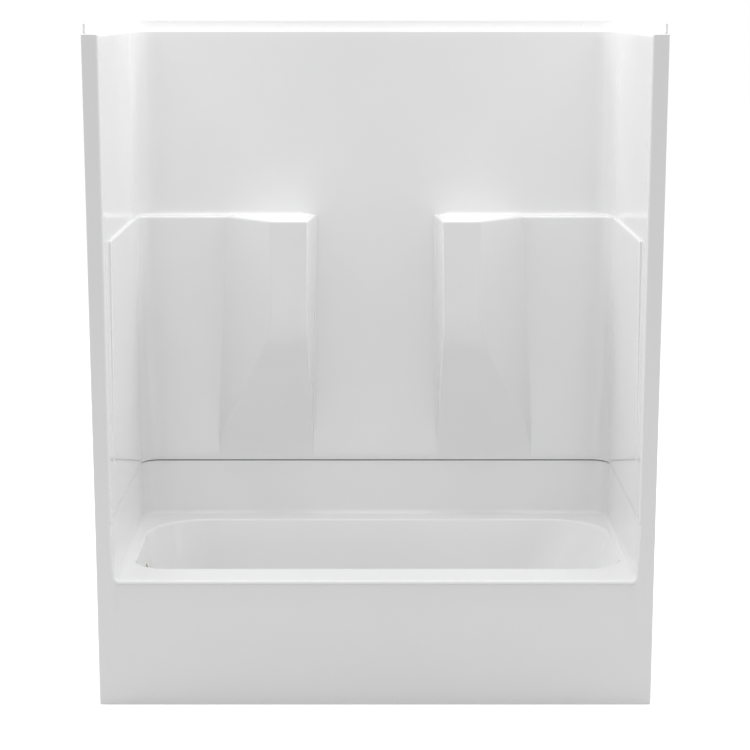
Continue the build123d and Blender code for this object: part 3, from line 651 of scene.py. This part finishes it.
# The top ledge from its edge out, a cove and the nailing flange: rows of one U, moved out and up.
def nailingFlange(top, grow):
    half, back, radius = wall["flangeInside"]
    cove = wall["flangeCove"]
    count = flangeColumn + 1
    inner = top[:count]
    low = back - radius

    def path(out):
        plan = np.zeros((count, 2))
        backPlaces, backFirst = flangeSpacing(0, half - radius, 0, cornerStart, wall["backHoles"])
        plan[:cornerStart + 1, 0] = backPlaces
        plan[:cornerStart + 1, 1] = back + out
        angle = math.pi / 2 * evenPlaces(cornerArc)
        plan[cornerStart:sideStart, 0] = half - radius + (radius + out) * np.sin(angle)
        plan[cornerStart:sideStart, 1] = low + (radius + out) * np.cos(angle)
        plan[sideStart:, 0] = half + out
        plan[sideStart:, 1], sideFirst = flangeSpacing(low, unit["flangeFront"], sideStart, flangeColumn,
                                                       wall["sideHoles"])
        return plan, backFirst, sideFirst

    start = lifted(path(-cove)[0], wall["top"] - grow)
    share = np.linspace(0, 1, wall["railSteps"] + 1)[:-1, None, None]
    rows = [inner + (start - inner) * share]
    reach = cove + grow
    for bend in np.linspace(0, math.pi / 2, wall["railRows"]):
        plan, _, _ = path(-cove + reach * math.sin(bend))
        rows.append(lifted(plan, wall["top"] + cove - reach * math.cos(bend))[None])
    plan, backFirst, sideFirst = path(grow)
    for z in (*[wall["holeHeight"] + place for place in wall["holeGrid"]], wall["flangeTop"]):
        rows.append(lifted(plan, z)[None])
    return np.concatenate(rows), backFirst, sideFirst


# The grids of the right half, each with its mirror image, make one closed shell.
def makeWallSection():
    shell = newShell()
    front, frontTop, flangeFirst = wallGrids(0.0)
    hidden, hiddenTop, _ = wallGrids(laminate)
    keep = np.ones((front.shape[0] - 1, front.shape[1] - 1), bool)
    keep[flangeFirst:, flangeColumn:] = False
    addBothSides(shell, front, hidden, keep)
    rightTop, leftTop = addBothSides(shell, frontTop, hiddenTop)

    # The nailing flange, with a screw hole in a block of its faces at each hole's place
    rails, backFirst, sideFirst = nailingFlange(frontTop[0], 0.0)
    hiddenRails, _, _ = nailingFlange(hiddenTop[0], laminate)
    keep = np.ones((rails.shape[0] - 1, rails.shape[1] - 1), bool)
    holeFaces = len(wall["holeGrid"]) - 1
    blockTop = len(rails) - 1 - len(wall["holeGrid"])
    block = (blockTop, blockTop + holeFaces)
    x, y, z = np.eye(3)
    half, back, _ = wall["flangeInside"]
    holes = [(first, (place, back), x) for first, place in zip(backFirst, wall["backHoles"])]
    holes += [(first, (half, place), y) for first, place in zip(sideFirst, wall["sideHoles"])]
    for first, _, _ in holes:
        withoutBlock(keep, block, (first, first + holeFaces))
    rightRail, leftRail = addBothSides(shell, rails, hiddenRails, keep, flip=True)
    for first, (placeX, placeY), across in holes:
        out = (y if across is x else x) * laminate
        centre = np.array([placeX, placeY, wall["holeHeight"]])
        for side in (1, -1):
            mirror = np.array([side, 1, 1])
            addHole(shell, (rails * mirror, hiddenRails * mirror), block, (first, first + holeFaces),
                    (centre * mirror, (centre + out) * mirror), wall["holeRadius"], across, z, flip=side > 0)
    # The flat top of each column, from the ends of the ledge's rows round to the lip
    for rail, top, turned in ((rightRail, rightTop, False), (leftRail, leftTop, True)):
        outline = np.concatenate([top[0, flangeColumn:], rail[wall["railSteps"]::-1, flangeColumn]])
        shell["patches"].append(outline[::-1] if turned else outline)
    piece = shellObject("wallSection", shell, [gelcoat, choppedStrand], sprayedAbove=wall["top"])
    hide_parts("wall_surround")
    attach(piece, "root")


makeWallSection()
print("wall section made")


# The tub section: low walls on three sides, a deck round the basin, the apron and the feet of the columns.
tub = {
    "rim": 356.0, "seam": 518.0,                   # height of the deck and of the seam
    "seamHalf": 720.0, "seamBack": 347.0,          # inside of the low walls at the seam
    "deckHalf": 714.0, "deckBack": 330.0,          # and where they would meet the deck
    "corner": 48.0, "cove": 16.0,                  # radii between the low walls, and from them to the deck
    "left": -680.0, "right": 698.0, "frontEdge": -262.0, "backEdge": 251.0,     # opening of the basin
    "leftSlope": 7.0, "rightSlope": 27.0, "frontSlope": 8.0, "backSlope": 11.0,     # degrees from upright
    "corners": {"backRight": 170.0, "frontRight": 110.0, "frontLeft": 95.0, "backLeft": 170.0},
    "rimRadius": 7.0, "floorRadius": 55.0,
    "floorHeight": 38.0, "floorFall": 0.7,         # height at the drain's end, and fall to it in degrees
    # the apron's recess: its depth, how far under the edge it starts and is full, where it fades at the
    # sides, and the share of its depth by height with how far those bends are rounded
    "recess": 6.5, "recessTop": (1.0, 5.0), "recessSide": (694.0, 718.0),
    "recessFade": ((0, 200.0, 343, 486), (0, 0, 1, 2)), "recessSoft": 30,
    "drain": (-527.0, -5.5), "drainRadius": 26.0, "seatRadius": 38.0, "seatDepth": 3.0,
    "seatSpread": 0.4,                             # how much further out the seat is behind, in laminates
    "overflow": (-5.5, 264.0), "overflowRadius": 28.5,
    "overflowSide": (-45.5, 54.5), "overflowLevels": (304, 224),    # y and z of the block the hole takes up
    # rows of points: the flange and its roll, the low wall, its cove, the basin's rim, the arc to the floor
    # and the front edge; columns of points: the column's face, its outer edge and its lip
    "flangeRows": 5, "wallRows": 10, "coveSteps": 8, "rimRows": 8, "footRows": 12, "edgeRows": 9,
    "faceColumns": 6, "arcColumns": 5, "lipColumns": 4,
    # shares of the way along the deck's front edge to its middle, and of the way in to the basin's opening
    "deckShares": [0.02, 0.05, 0.08, 0.11, 0.15, 0.2, 0.26, 0.33, 0.4, 0.48, 0.56, 0.64, 0.72, 0.8, 0.88,
                   0.94, 1.0],
    "deckRows": [0, 0.12, 0.3, 0.5, 0.7, 0.88],
    # drops under the edge, and then shares of the way to the floor, of the apron's rows
    "apronDrops": [0, 1, 1.8, 2.6, 3.4, 4.2, 5, 8.0],
    "apronShares": [0.02, 0.05, 0.09, 0.14, 0.2, 0.27, 0.34, 0.40, 0.46, 0.53, 0.62, 0.72, 0.82, 0.92, 1.0],
    # shares of the way over the floor, then distance out from the drain's seat and share of the way down to
    # it, and then distance out from the drain hole and how far its edge is rounded down
    "floorShares": [0.12, 0.26, 0.42, 0.58, 0.72, 0.84, 0.93, 1.0],
    "seatEdge": [(1.6, 0.12), (0.6, 0.4), (-0.2, 0.75), (-1.2, 0.95), (-2.4, 1.0)], "seatStart": 3,
    "drainEdge": [(5.0, 0), (1.6, 0), (0.6, 0.3), (0.0, 1.0)],
}
# Points of the low walls' plan: shares of the back's straight, the corner, and the side, which is spread
# from the corner to y 100 and then has fixed places, eleven of them 10 mm apart across the overflow.
backShares = evenPlaces(26)
cornerSteps = 14
sideShares = evenPlaces(6)
sidePlaces = np.array([100, 82, 68, 54.5, 44.5, 34.5, 24.5, 14.5, 4.5, -5.5, -15.5, -25.5, -35.5, -45.5, -60,
                       -80, -100, -120, -136, -152, -167, -183, -200, -220, -240, -260, -280, -300, -320,
                       unit["flangeFront"], unit["flangeFront"] - 1, unit["lipBack"],
                       unit["front"] + unit["edge"]])
lowColumns = len(backShares) + cornerSteps + len(sideShares) + len(sidePlaces)
lowCorner, lowSide = len(backShares), len(backShares) + cornerSteps
lowFlange = lowColumns - 4               # the column of points at the front end of the seam flange
# 1 on the back, 0 on the side, and evenly between them round the corner
backWeight = np.concatenate([np.ones(lowCorner), 1 - evenPlaces(cornerSteps), np.zeros(lowColumns - lowSide)])
sideLean = math.atan((tub["seamHalf"] - tub["deckHalf"]) / (tub["seam"] - tub["rim"]))
backLean = math.atan((tub["seamBack"] - tub["deckBack"]) / (tub["seam"] - tub["rim"]))


# A level U for each half width, back and corner radius, with a point at each column: two straights and a
# quarter circle.
def lowPlan(half, back, corner):
    half, back, corner = (np.asarray(v, float)[..., None] for v in (half, back, corner))
    angle = math.pi / 2 * evenPlaces(cornerSteps)
    low = back - corner
    x = np.concatenate([(half - corner) * backShares, half - corner + corner * np.sin(angle),
                        half + 0 * sideShares, half + 0 * sidePlaces], -1)
    y = np.concatenate([back + 0 * backShares, low + corner * np.cos(angle),
                        low + (sidePlaces[0] - low) * sideShares, 0 * low + sidePlaces], -1)
    return np.stack([x, y], -1)


# A height that is one value on the back and another on the side, and changes evenly round the corner.
def mixedHeight(backZ, sideZ):
    return backZ[:, None] * backWeight + sideZ[:, None] * (1 - backWeight)


# The low walls: the seam flange, the roll into the wall, the leaning wall and the cove down to the deck. The
# cove's centre lies one radius above the deck and one inside the leaning wall. Forward of the flange's end
# the rows go straight up instead. Gives the rows, the angle below level at which each row looks out of the
# air, and the number of the flange's rows.
def lowWallGrid(grow):
    roll = max(unit["seamRoll"] - grow, 0)
    wallTop = tub["seam"] - max(unit["seamRoll"], grow)
    rise = wallTop - tub["rim"]
    topHalf = tub["deckHalf"] + rise * math.tan(sideLean) + grow / math.cos(sideLean)
    topBack = tub["deckBack"] + rise * math.tan(backLean) + grow / math.cos(backLean)
    bend = np.linspace(math.pi / 2, 0, tub["flangeRows"])[:-1]
    out = roll * (1 - np.cos(bend))
    rollRows = lifted(lowPlan(topHalf + out, topBack + out, tub["corner"] + grow + out),
                      (wallTop + roll * np.sin(bend))[:, None])
    outer = lifted(lowPlan(*[[reach] for reach in unit["seamReach"]]), tub["seam"] - grow)
    share = np.linspace(0, 1, tub["flangeRows"])[:-1, None, None]
    flangeRows = outer + (rollRows[:1] - outer) * share
    seamRows = np.concatenate([flangeRows, rollRows])

    cove = tub["cove"]
    shares = np.linspace(0, 1, tub["coveSteps"] + 1)
    sideBend = sideLean + (math.pi / 2 - sideLean) * shares
    backBend = backLean + (math.pi / 2 - backLean) * shares
    centreZ = tub["rim"] + cove
    centreX = tub["deckHalf"] + cove * math.tan(sideLean) - cove / math.cos(sideLean)
    centreY = tub["deckBack"] + cove * math.tan(backLean) - cove / math.cos(backLean)
    reach = cove + grow
    corner = tub["corner"] - cove + reach * np.cos(shares * math.pi / 2)
    coveRows = lifted(lowPlan(centreX + reach * np.cos(sideBend), centreY + reach * np.cos(backBend), corner),
                      mixedHeight(centreZ - reach * np.sin(backBend), centreZ - reach * np.sin(sideBend)))
    top = lifted(lowPlan([topHalf], [topBack], [tub["corner"] + grow]), wallTop)
    share = np.linspace(0, 1, tub["wallRows"])[:-1, None, None]
    wallRows = top + (coveRows[:1] - top) * share

    straight = np.broadcast_to(wallRows[:1], seamRows.shape).copy()
    share = np.minimum(np.arange(len(seamRows), 0, -1) / len(rollRows), 1)[:, None]
    straight[..., 2] = wallTop + (tub["seam"] - wallTop) * share
    seamRows = np.where((np.arange(lowColumns) > lowFlange)[:, None], straight, seamRows)
    outward = np.concatenate([np.zeros(len(seamRows) + len(wallRows)), shares * math.pi / 2])
    return np.concatenate([seamRows, wallRows, coveRows]), outward, len(flangeRows)


# The rounded front edge of the tub: a quarter circle carried down the column's inner edge, round the cove and
# along the deck. Each of its points is U + m (edge - r cos) and front + edge - r sin, with m pointing out of
# the air and r the edge's radius less grow.
def frontEdgeGrid(low, outward, deckX, grow):
    deckLine = np.stack([deckX, 0 * deckX + sidePlaces[-1]], -1)
    line = np.concatenate([low[:, -1], lifted(deckLine, tub["rim"] - grow)])
    away = np.concatenate([outward, np.full(len(deckX), math.pi / 2)])
    mX, mZ = np.cos(away), -np.sin(away)
    baseX, baseZ = line[:, 0] - grow * mX, line[:, 2] - grow * mZ
    bend = np.linspace(0, math.pi / 2, tub["edgeRows"])
    radius = unit["edge"] - grow
    out = unit["edge"] - radius * np.cos(bend)
    y = np.broadcast_to(sidePlaces[-1] - radius * np.sin(bend), (len(line), len(bend)))
    return np.stack([baseX[:, None] + mX[:, None] * out, y, baseZ[:, None] + mZ[:, None] * out], -1)


# Apron: a grid hung from the front edge's line, set back by the recess under it. The recess is full depth a
# few millimetres under the edge, fades to nothing at its foot, and fades at its sides.
def apronGrid(top, grow):
    x, topZ = top[:, 0], top[:, 2]
    drops, shares = np.array(tub["apronDrops"])[:, None], np.array(tub["apronShares"])[:, None]
    z = np.concatenate([topZ - drops, (topZ - drops[-1]) * (1 - shares)])
    depth = softened(z, *tub["recessFade"], tub["recessSoft"])
    depth = depth * smoothStep(topZ - z, *tub["recessTop"]) * (1 - smoothStep(np.abs(x), *tub["recessSide"]))
    y = unit["front"] + grow + tub["recess"] * np.minimum(depth, 1)
    return np.stack([np.broadcast_to(x, z.shape), y, z], -1)


# Face of the column from the front edge's line to the outer edge, and the lip that turns back from it.
def columnGrid(innerX, z, grow):
    radius = max(unit["outerEdge"] - grow, 0)
    outerX = unit["halfWidth"] - grow - radius
    face = unit["front"] + grow
    share = np.linspace(0, 1, tub["faceColumns"])[:-1]
    bend = np.linspace(0, math.pi / 2, tub["arcColumns"])
    back = np.linspace(0, 1, tub["lipColumns"])[1:]
    start = face + radius
    x = np.concatenate([innerX[:, None] + (outerX - innerX[:, None]) * share,
                        np.broadcast_to(outerX + radius * np.sin(bend), (len(z), len(bend))),
                        np.full((len(z), len(back)), outerX + radius)], 1)
    y = np.concatenate([0 * share + face, start - radius * np.cos(bend),
                        start + (unit["lipBack"] - start) * back])
    return np.stack([x, np.broadcast_to(y, x.shape), np.broadcast_to(z[:, None], x.shape)], -1)


# Centres of the basin's rounded corners, from the lines of its sides and the corners' radii.
def cornerCentres(left, right, front, back, radius):
    return {
        "backRight": (right - radius["backRight"], back - radius["backRight"]),
        "frontRight": (right - radius["frontRight"], front + radius["frontRight"]),
        "frontLeft": (left + radius["frontLeft"], front + radius["frontLeft"]),
        "backLeft": (left + radius["backLeft"], back - radius["backLeft"]),
    }


# Where each point of the deck's outline looks on the basin's opening: straight across to a side, or towards
# the centre of a rounded corner. Gives the number of the part (back, back right, right, front right, front,
# front left, left, back left) and the share along it, clockwise from above.
def basinColumns(outline):
    x, y = outline[:, 0], outline[:, 1]
    centre = cornerCentres(tub["left"], tub["right"], tub["frontEdge"], tub["backEdge"], tub["corners"])
    (rightX, backRightY), (frontRightX, frontRightY) = centre["backRight"], centre["frontRight"]
    (frontLeftX, frontLeftY), (leftX, backLeftY) = centre["frontLeft"], centre["backLeft"]
    sideX, frontY = 650, -300            # the outline's sides and its front lie beyond these
    quarter = math.pi / 2
    looks = [
        ((x > rightX) & (y > backRightY), 1, np.arctan2(x - rightX, y - backRightY) / quarter),
        ((x > frontRightX) & (y < frontRightY), 3, np.arctan2(frontRightY - y, x - frontRightX) / quarter),
        ((x < frontLeftX) & (y < frontLeftY), 5, np.arctan2(frontLeftX - x, frontLeftY - y) / quarter),
        ((x < leftX) & (y > backLeftY), 7, np.arctan2(y - backLeftY, leftX - x) / quarter),
        (x > sideX, 2, (backRightY - y) / (backRightY - frontRightY)),
        (x < -sideX, 6, (y - frontLeftY) / (backLeftY - frontLeftY)),
        (y < frontY, 4, (frontRightX - x) / (frontRightX - frontLeftX)),
    ]
    part = np.select([look[0] for look in looks], [look[1] for look in looks], 0)
    share = np.select([look[0] for look in looks], [look[2] for look in looks],
                      (x - leftX) / (rightX - leftX))
    return part, share


# Heights of the rows of the basin's wall at its left end, nine of them 10 mm apart across the overflow.
wallLevels = np.array([349.9, 340, 328, 316, 304, 294, 284, 274, 264, 254, 244, 234, 224, 208, 190, 170, 150,
                       130, 110, 97, 87])
wallShares = (wallLevels[0] - wallLevels) / (wallLevels[0] - wallLevels[-1])


# Section of one side of the basin, for a floor height at each column: the rim's arc, the sloping wall and the
# arc down to the floor. inset is measured inwards from the opening's edge, and spare is how far a point lies
# inside the line of the wall.
def basinSection(slope, floorZ, grow):
    lean = math.radians(slope)
    tan, cos = math.tan(lean), math.cos(lean)
    rim, rimRadius, floorRadius = tub["rim"], tub["rimRadius"], tub["floorRadius"]
    bend = np.linspace(0, math.pi / 2 - lean, tub["rimRows"])[:, None]
    inset = rimRadius * tan - rimRadius / cos + (rimRadius - grow) * np.sin(bend) + 0 * floorZ
    z = rim - rimRadius + (rimRadius - grow) * np.cos(bend) + 0 * floorZ
    bend = np.linspace(lean, math.pi / 2, tub["footRows"])[:, None]
    centreZ = floorZ + floorRadius
    lowInset = (rim - centreZ) * tan + floorRadius / cos - (floorRadius + grow) * np.cos(bend)
    lowZ = centreZ - (floorRadius + grow) * np.sin(bend)
    share = wallShares[1:-1, None]
    wallInset = inset[-1] + (lowInset[0] - inset[-1]) * share
    wallZ = z[-1] + (lowZ[0] - z[-1]) * share
    inset, z = np.concatenate([inset, wallInset, lowInset]), np.concatenate([z, wallZ, lowZ])
    return inset, z, inset - (rim - z) * tan + grow / cos


# Height of the floor: a plane that rises from the drain's end.
def floorPlane(x):
    return tub["floorHeight"] + (x - tub["left"]) * math.tan(math.radians(tub["floorFall"]))


# The basin's rows, from its rim to the edge of its floor, for every column of the deck's outline: points of a
# side lie on its line, and those of a corner at centre + radius (cos, sin). A corner's radius shrinks by half
# of what its two sides have to spare. The floor's height at a column depends on where the column ends, so
# the rows are worked out three times, each time with the ends found before.
def basinRows(part, share, grow):
    angle = share * math.pi / 2
    sine, cosine = np.sin(angle), np.cos(angle)

    def between(a, b):
        return a + (b - a) * share

    floorX = np.zeros(len(part))
    for _ in range(3):
        floorZ = floorPlane(floorX)
        sections = {name: basinSection(tub[name + "Slope"], floorZ, grow)
                    for name in ("back", "right", "front", "left")}
        inset = {name: section[0] for name, section in sections.items()}
        spare = {name: section[2] for name, section in sections.items()}
        left, right = tub["left"] + inset["left"], tub["right"] - inset["right"]
        front, back = tub["frontEdge"] + inset["front"], tub["backEdge"] - inset["back"]
        radius = {name: size + grow - sum(spare[side] for side in spare if side in name.lower()) / 2
                  for name, size in tub["corners"].items()}
        middle = cornerCentres(left, right, front, back, radius)
        x = np.choose(part, [
            between(middle["backLeft"][0], middle["backRight"][0]),
            middle["backRight"][0] + radius["backRight"] * sine, right,
            middle["frontRight"][0] + radius["frontRight"] * cosine,
            between(middle["frontRight"][0], middle["frontLeft"][0]),
            middle["frontLeft"][0] - radius["frontLeft"] * sine, left,
            middle["backLeft"][0] - radius["backLeft"] * cosine,
        ])
        y = np.choose(part, [
            back, middle["backRight"][1] + radius["backRight"] * cosine,
            between(middle["backRight"][1], middle["frontRight"][1]),
            middle["frontRight"][1] - radius["frontRight"] * sine, front,
            middle["frontLeft"][1] - radius["frontLeft"] * cosine,
            between(middle["frontLeft"][1], middle["backLeft"][1]),
            middle["backLeft"][1] + radius["backLeft"] * sine,
        ])
        floorX = x[-1]
    height = [section[1] for section in sections.values()]
    z = np.choose(part, [height[0], between(height[0], height[1]), height[1], between(height[1], height[2]),
                         height[2], between(height[2], height[3]), height[3], between(height[3], height[0])])
    return np.stack([x, y, z], -1)


# The floor: rows drawn in from the basin's edge to the drain's seat, down into it, and in to the drain hole,
# whose edge is rounded in front only.
def floorRows(edge, grow):
    centre = np.array(tub["drain"])
    arm = edge[:, :2] - centre
    distance = np.linalg.norm(arm, axis=1)
    heading = arm / distance[:, None]
    seat = floorPlane(centre[0]) - tub["seatDepth"] - grow
    wide = tub["seatRadius"] + tub["seatSpread"] * grow
    reach = distance + (wide + tub["seatStart"] - distance) * np.array(tub["floorShares"])[:, None]
    rows = [(reach, floorPlane(centre[0] + heading[:, 0] * reach) - grow)]
    for out, drop in tub["seatEdge"]:
        reach = np.full((1, len(distance)), wide + out)
        plane = floorPlane(centre[0] + heading[:, 0] * reach) - grow
        rows.append((reach, plane + (seat - plane) * drop))
    for out, drop in tub["drainEdge"]:
        reach = np.full((1, len(distance)), tub["drainRadius"] + out)
        rows.append((reach, np.full(reach.shape, seat - drop * (grow == 0))))
    reach, z = np.concatenate([row[0] for row in rows]), np.concatenate([row[1] for row in rows])
    return lifted(centre + heading * reach[..., None], z)


# The low walls, the front edge, the apron and the columns are mirrored; the deck and the basin are not.
def makeTubSection():
    shell = newShell()
    frontLow, outward, flangeRows = lowWallGrid(0.0)
    hiddenLow, _, _ = lowWallGrid(laminate)
    keep = np.ones((frontLow.shape[0] - 1, lowColumns - 1), bool)
    keep[:flangeRows, lowFlange:] = False
    addBothSides(shell, frontLow, hiddenLow, keep)

    deckX = frontLow[-1, -1, 0] * (1 - np.array(tub["deckShares"]))
    nose = frontEdgeGrid(frontLow, outward, deckX, 0.0)
    hiddenNose = frontEdgeGrid(hiddenLow, outward, deckX, laminate)
    addBothSides(shell, nose, hiddenNose)

    # The apron hangs from the edge below the top of the cove, and the column's face from all of it
    coveTop = len(frontLow) - tub["coveSteps"] - 1
    apron, hiddenApron = apronGrid(nose[coveTop:, -1], 0.0), apronGrid(nose[coveTop:, -1], laminate)
    addBothSides(shell, apron, hiddenApron, flip=True)
    innerX = np.concatenate([nose[:coveTop, -1, 0], apron[:, 0, 0]])
    z = np.concatenate([nose[:coveTop, -1, 2], apron[:, 0, 2]])
    addBothSides(shell, columnGrid(innerX, z, 0.0), columnGrid(innerX, z, laminate))

    # The deck and the basin are one ring of columns round the opening
    right = frontLow[-1]
    line = np.stack([deckX, 0 * deckX + sidePlaces[-1], 0 * deckX + tub["rim"]], -1)
    outline = np.concatenate([right, line, (line * mirrored)[-2::-1], (right * mirrored)[::-1]])
    part, share = basinColumns(outline)
    deckShares = np.array(tub["deckRows"])[:, None, None]
    surfaces = []
    for grow in (0.0, laminate):
        rows = basinRows(part, share, grow)
        edge = outline - [0, 0, grow]
        deck = edge + (rows[0] - edge) * deckShares
        surfaces.append(np.concatenate([deck, rows, floorRows(rows[-1], grow)]))

    # The overflow hole takes up a block of the basin's left wall
    keep = np.ones((surfaces[0].shape[0] - 1, len(outline) - 1), bool)
    low, high = tub["overflowSide"]
    taken = np.flatnonzero((part == 6) & (outline[:, 1] >= low) & (outline[:, 1] <= high))
    columns = (taken[0], taken[-1])
    wallFirst = len(tub["deckRows"]) + tub["rimRows"] - 1
    block = tuple(wallFirst + wallLevels.tolist().index(level) for level in tub["overflowLevels"])
    withoutBlock(keep, block, columns)
    addGrid(shell, surfaces[0], surfaces[1], keep)
    lean = math.radians(tub["leftSlope"])
    y, z = tub["overflow"]
    centre = np.array([tub["left"] + (tub["rim"] - z) * math.tan(lean), y, z])
    out = np.array([-math.cos(lean), 0, -math.sin(lean)])
    addHole(shell, surfaces, block, columns, (centre, centre + laminate * out), tub["overflowRadius"],
            np.array([0.0, 1, 0]), np.array([-math.sin(lean), 0, math.cos(lean)]))
    piece = shellObject("tubSection", shell, [gelcoat, choppedStrand])
    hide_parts("tub_shell")
    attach(piece, "root")


makeTubSection()
print("tub section made")


# Finishes of the pieces that keep their own shape. Timber's grain runs along its length.
timberGrain = {
    "x": ["apron_sill", "back_deck_rail", "back_rib_", "front_deck_rail"],
    "y": ["drain_block_", "floor_bearer_", "shelf_core_"],
    "z": ["apron_post_", "back_batten_", "column_batten_", "column_post_", "deck_leg_", "side_batten_"],
}
# Radius of the eased edges and distance at which points become one, in metres; the turns, in degrees, up to
# which faces count as flat and from which an edge is eased
timber = {"edge": 0.0018, "weld": 0.00001, "flat": 1, "corner": 30}
otherFinishes = [
    (strandBoard, ["apron_board", "shower_arm_board", "tub_floor_board", "valve_board"]),
    (choppedStrand, ["drain_pad", "overflow_pad"]),
    (gasketFoam, ["seam_gasket"]),
    (zincSteel, ["seam_bolts", "seam_nuts", "seam_washers"]),
]


# A timber's edges are eased: its solid is copied, its coplanar triangles joined, and its corners bevelled.
def easedCopy(node, finish):
    words = node.name.split("_")
    mesh = node.data.copy()
    mesh.name = "eased" + "".join(word.capitalize() for word in words)
    work = bmesh.new()
    work.from_mesh(mesh)
    bmesh.ops.remove_doubles(work, verts=work.verts, dist=timber["weld"])
    bmesh.ops.dissolve_limit(work, angle_limit=math.radians(timber["flat"]), verts=work.verts,
                             edges=work.edges)
    work.to_mesh(mesh)
    work.free()
    mesh.materials.clear()
    mesh.materials.append(finish)
    mesh.polygons.foreach_set("material_index", [0] * len(mesh.polygons))
    mesh.shade_smooth()
    piece = bpy.data.objects.new(mesh.name, mesh)
    bpy.context.collection.objects.link(piece)
    bevel = piece.modifiers.new("easedEdge", "BEVEL")
    bevel.width, bevel.segments, bevel.limit_method = timber["edge"], 2, "ANGLE"
    bevel.angle_limit, bevel.harden_normals = math.radians(timber["corner"]), True
    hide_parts(node.name)
    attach(piece, "root")


# Timbers are replaced by eased copies, and the other pieces get their finish in the slots they have.
def dressNodes():
    nodes = [piece for piece in bpy.data.objects if piece.type == "MESH" and piece.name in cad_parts]
    for along, names in timberGrain.items():
        for node in nodes:
            if node.name.startswith(tuple(names)):
                easedCopy(node, softwood[along])
    dressed = 0
    for finish, names in otherFinishes:
        for node in nodes:
            if node.name in names:
                for slot in node.material_slots:
                    slot.material = finish
                dressed += 1
    print("timbers eased, and", dressed, "other pieces dressed")


dressNodes()


# Pure white round the unit, as in the photograph, but the light that falls on it is lower: an even fill from
# all round, a wide lamp overhead, a lamp high beside each side that lights the wall across from it, and a
# weak one in front of each side.
studio = {
    "fill": 0.70,                            # strength of the world as a light
    # Place, aim and size of each lamp in metres, and its power in watts. One beside the middle has a twin.
    "lamps": [
        ((0.0, 0.2, 4.5), (0.0, 0.25, 0.9), (3.0, 2.0), 54.0),
        ((2.2, 0.3, 3.6), (-0.7, 0.0, 1.2), (1.4, 1.4), 36.0),
        ((2.6, -1.5, 1.2), (-0.7, 0.0, 1.0), (0.8, 1.8), 3.0),
    ],
    # The floor's colour as light sees it, the one that is seen, and what is added to that; half its width
    "floorShade": "#c4c4c4", "floorShown": "#f2f2f2", "floorLift": 0.41, "floorReach": 30,
}


# 1 where a ray comes from the camera or from a glossy or clear surface, and 0 for light.
def seenNotLit(tree):
    path = addNode(tree, "ShaderNodeLightPath").outputs
    seen = addNode(tree, "ShaderNodeMath", {0: path["Is Camera Ray"], 1: path["Is Glossy Ray"]},
                   operation="MAXIMUM")
    return addNode(tree, "ShaderNodeMath", {0: seen.outputs["Value"], 1: path["Is Transmission Ray"]},
                   operation="MAXIMUM").outputs["Value"]


# The floor, the world and the lamps.
def makeStage():
    mesh = bpy.data.meshes.new("floor")
    reach = studio["floorReach"]
    corners = [(-reach, -reach, 0), (reach, -reach, 0), (reach, reach, 0), (-reach, reach, 0)]
    mesh.from_pydata(corners, [], [(0, 1, 2, 3)])
    floor = bpy.data.objects.new("floor", mesh)
    bpy.context.collection.objects.link(floor)
    material, tree = newMaterial("paintedStudioFloor")
    lit = addNode(tree, "ShaderNodeBsdfDiffuse", {"Color": linear(studio["floorShade"])})
    shown = addNode(tree, "ShaderNodeBsdfDiffuse", {"Color": linear(studio["floorShown"])})
    lift = addNode(tree, "ShaderNodeEmission", {"Strength": studio["floorLift"]})
    raised = addNode(tree, "ShaderNodeAddShader", {0: shown.outputs["BSDF"], 1: lift.outputs["Emission"]})
    mixed = addNode(tree, "ShaderNodeMixShader", {"Fac": seenNotLit(tree), 1: lit.outputs["BSDF"],
                                                  2: raised.outputs["Shader"]})
    out = addNode(tree, "ShaderNodeOutputMaterial")
    tree.links.new(mixed.outputs["Shader"], out.inputs["Surface"])
    mesh.materials.append(material)

    world = bpy.data.worlds.new("studio")
    world.use_nodes = True
    bpy.context.scene.world = world
    tree = world.node_tree
    strength = addNode(tree, "ShaderNodeMapRange", {"Value": seenNotLit(tree), "To Min": studio["fill"],
                                                    "To Max": 1.0})
    white = tree.nodes["Background"]
    white.inputs["Color"].default_value = (1, 1, 1, 1)
    tree.links.new(strength.outputs["Result"], white.inputs["Strength"])

    for place, aim, size, power in studio["lamps"]:
        for side in (1, -1) if place[0] else (1,):
            light = bpy.data.lights.new("softbox", "AREA")
            light.shape = "RECTANGLE"
            light.size, light.size_y = size
            light.energy = power
            lamp = bpy.data.objects.new("softbox", light)
            lamp.location = (side * place[0], *place[1:])
            heading = Vector((side * aim[0], *aim[1:])) - lamp.location
            lamp.rotation_euler = heading.to_track_quat("-Z", "Y").to_euler()
            bpy.context.collection.objects.link(lamp)


# Place of the camera in millimetres from the front of the unit, its downward tilt in degrees and its lens.
camera = {"side": -0.8, "distance": 5000.0, "height": 1914.0, "pitch": 11.13, "lens": 91.4, "sensor": 36.0}


def makeCamera():
    data = bpy.data.cameras.new("camera")
    data.lens, data.sensor_width = camera["lens"], camera["sensor"]
    data.clip_end = 50                       # metres, past the floor's far edge
    viewer = bpy.data.objects.new("camera", data)
    viewer.location = (camera["side"] / 1000, (unit["front"] - camera["distance"]) / 1000,
                       camera["height"] / 1000)
    viewer.rotation_euler = (math.radians(90 - camera["pitch"]), 0, 0)
    bpy.context.collection.objects.link(viewer)
    bpy.context.scene.camera = viewer


makeStage()
makeCamera()
print("studio and camera made")
bpy.context.scene.view_settings.view_transform = "Standard"
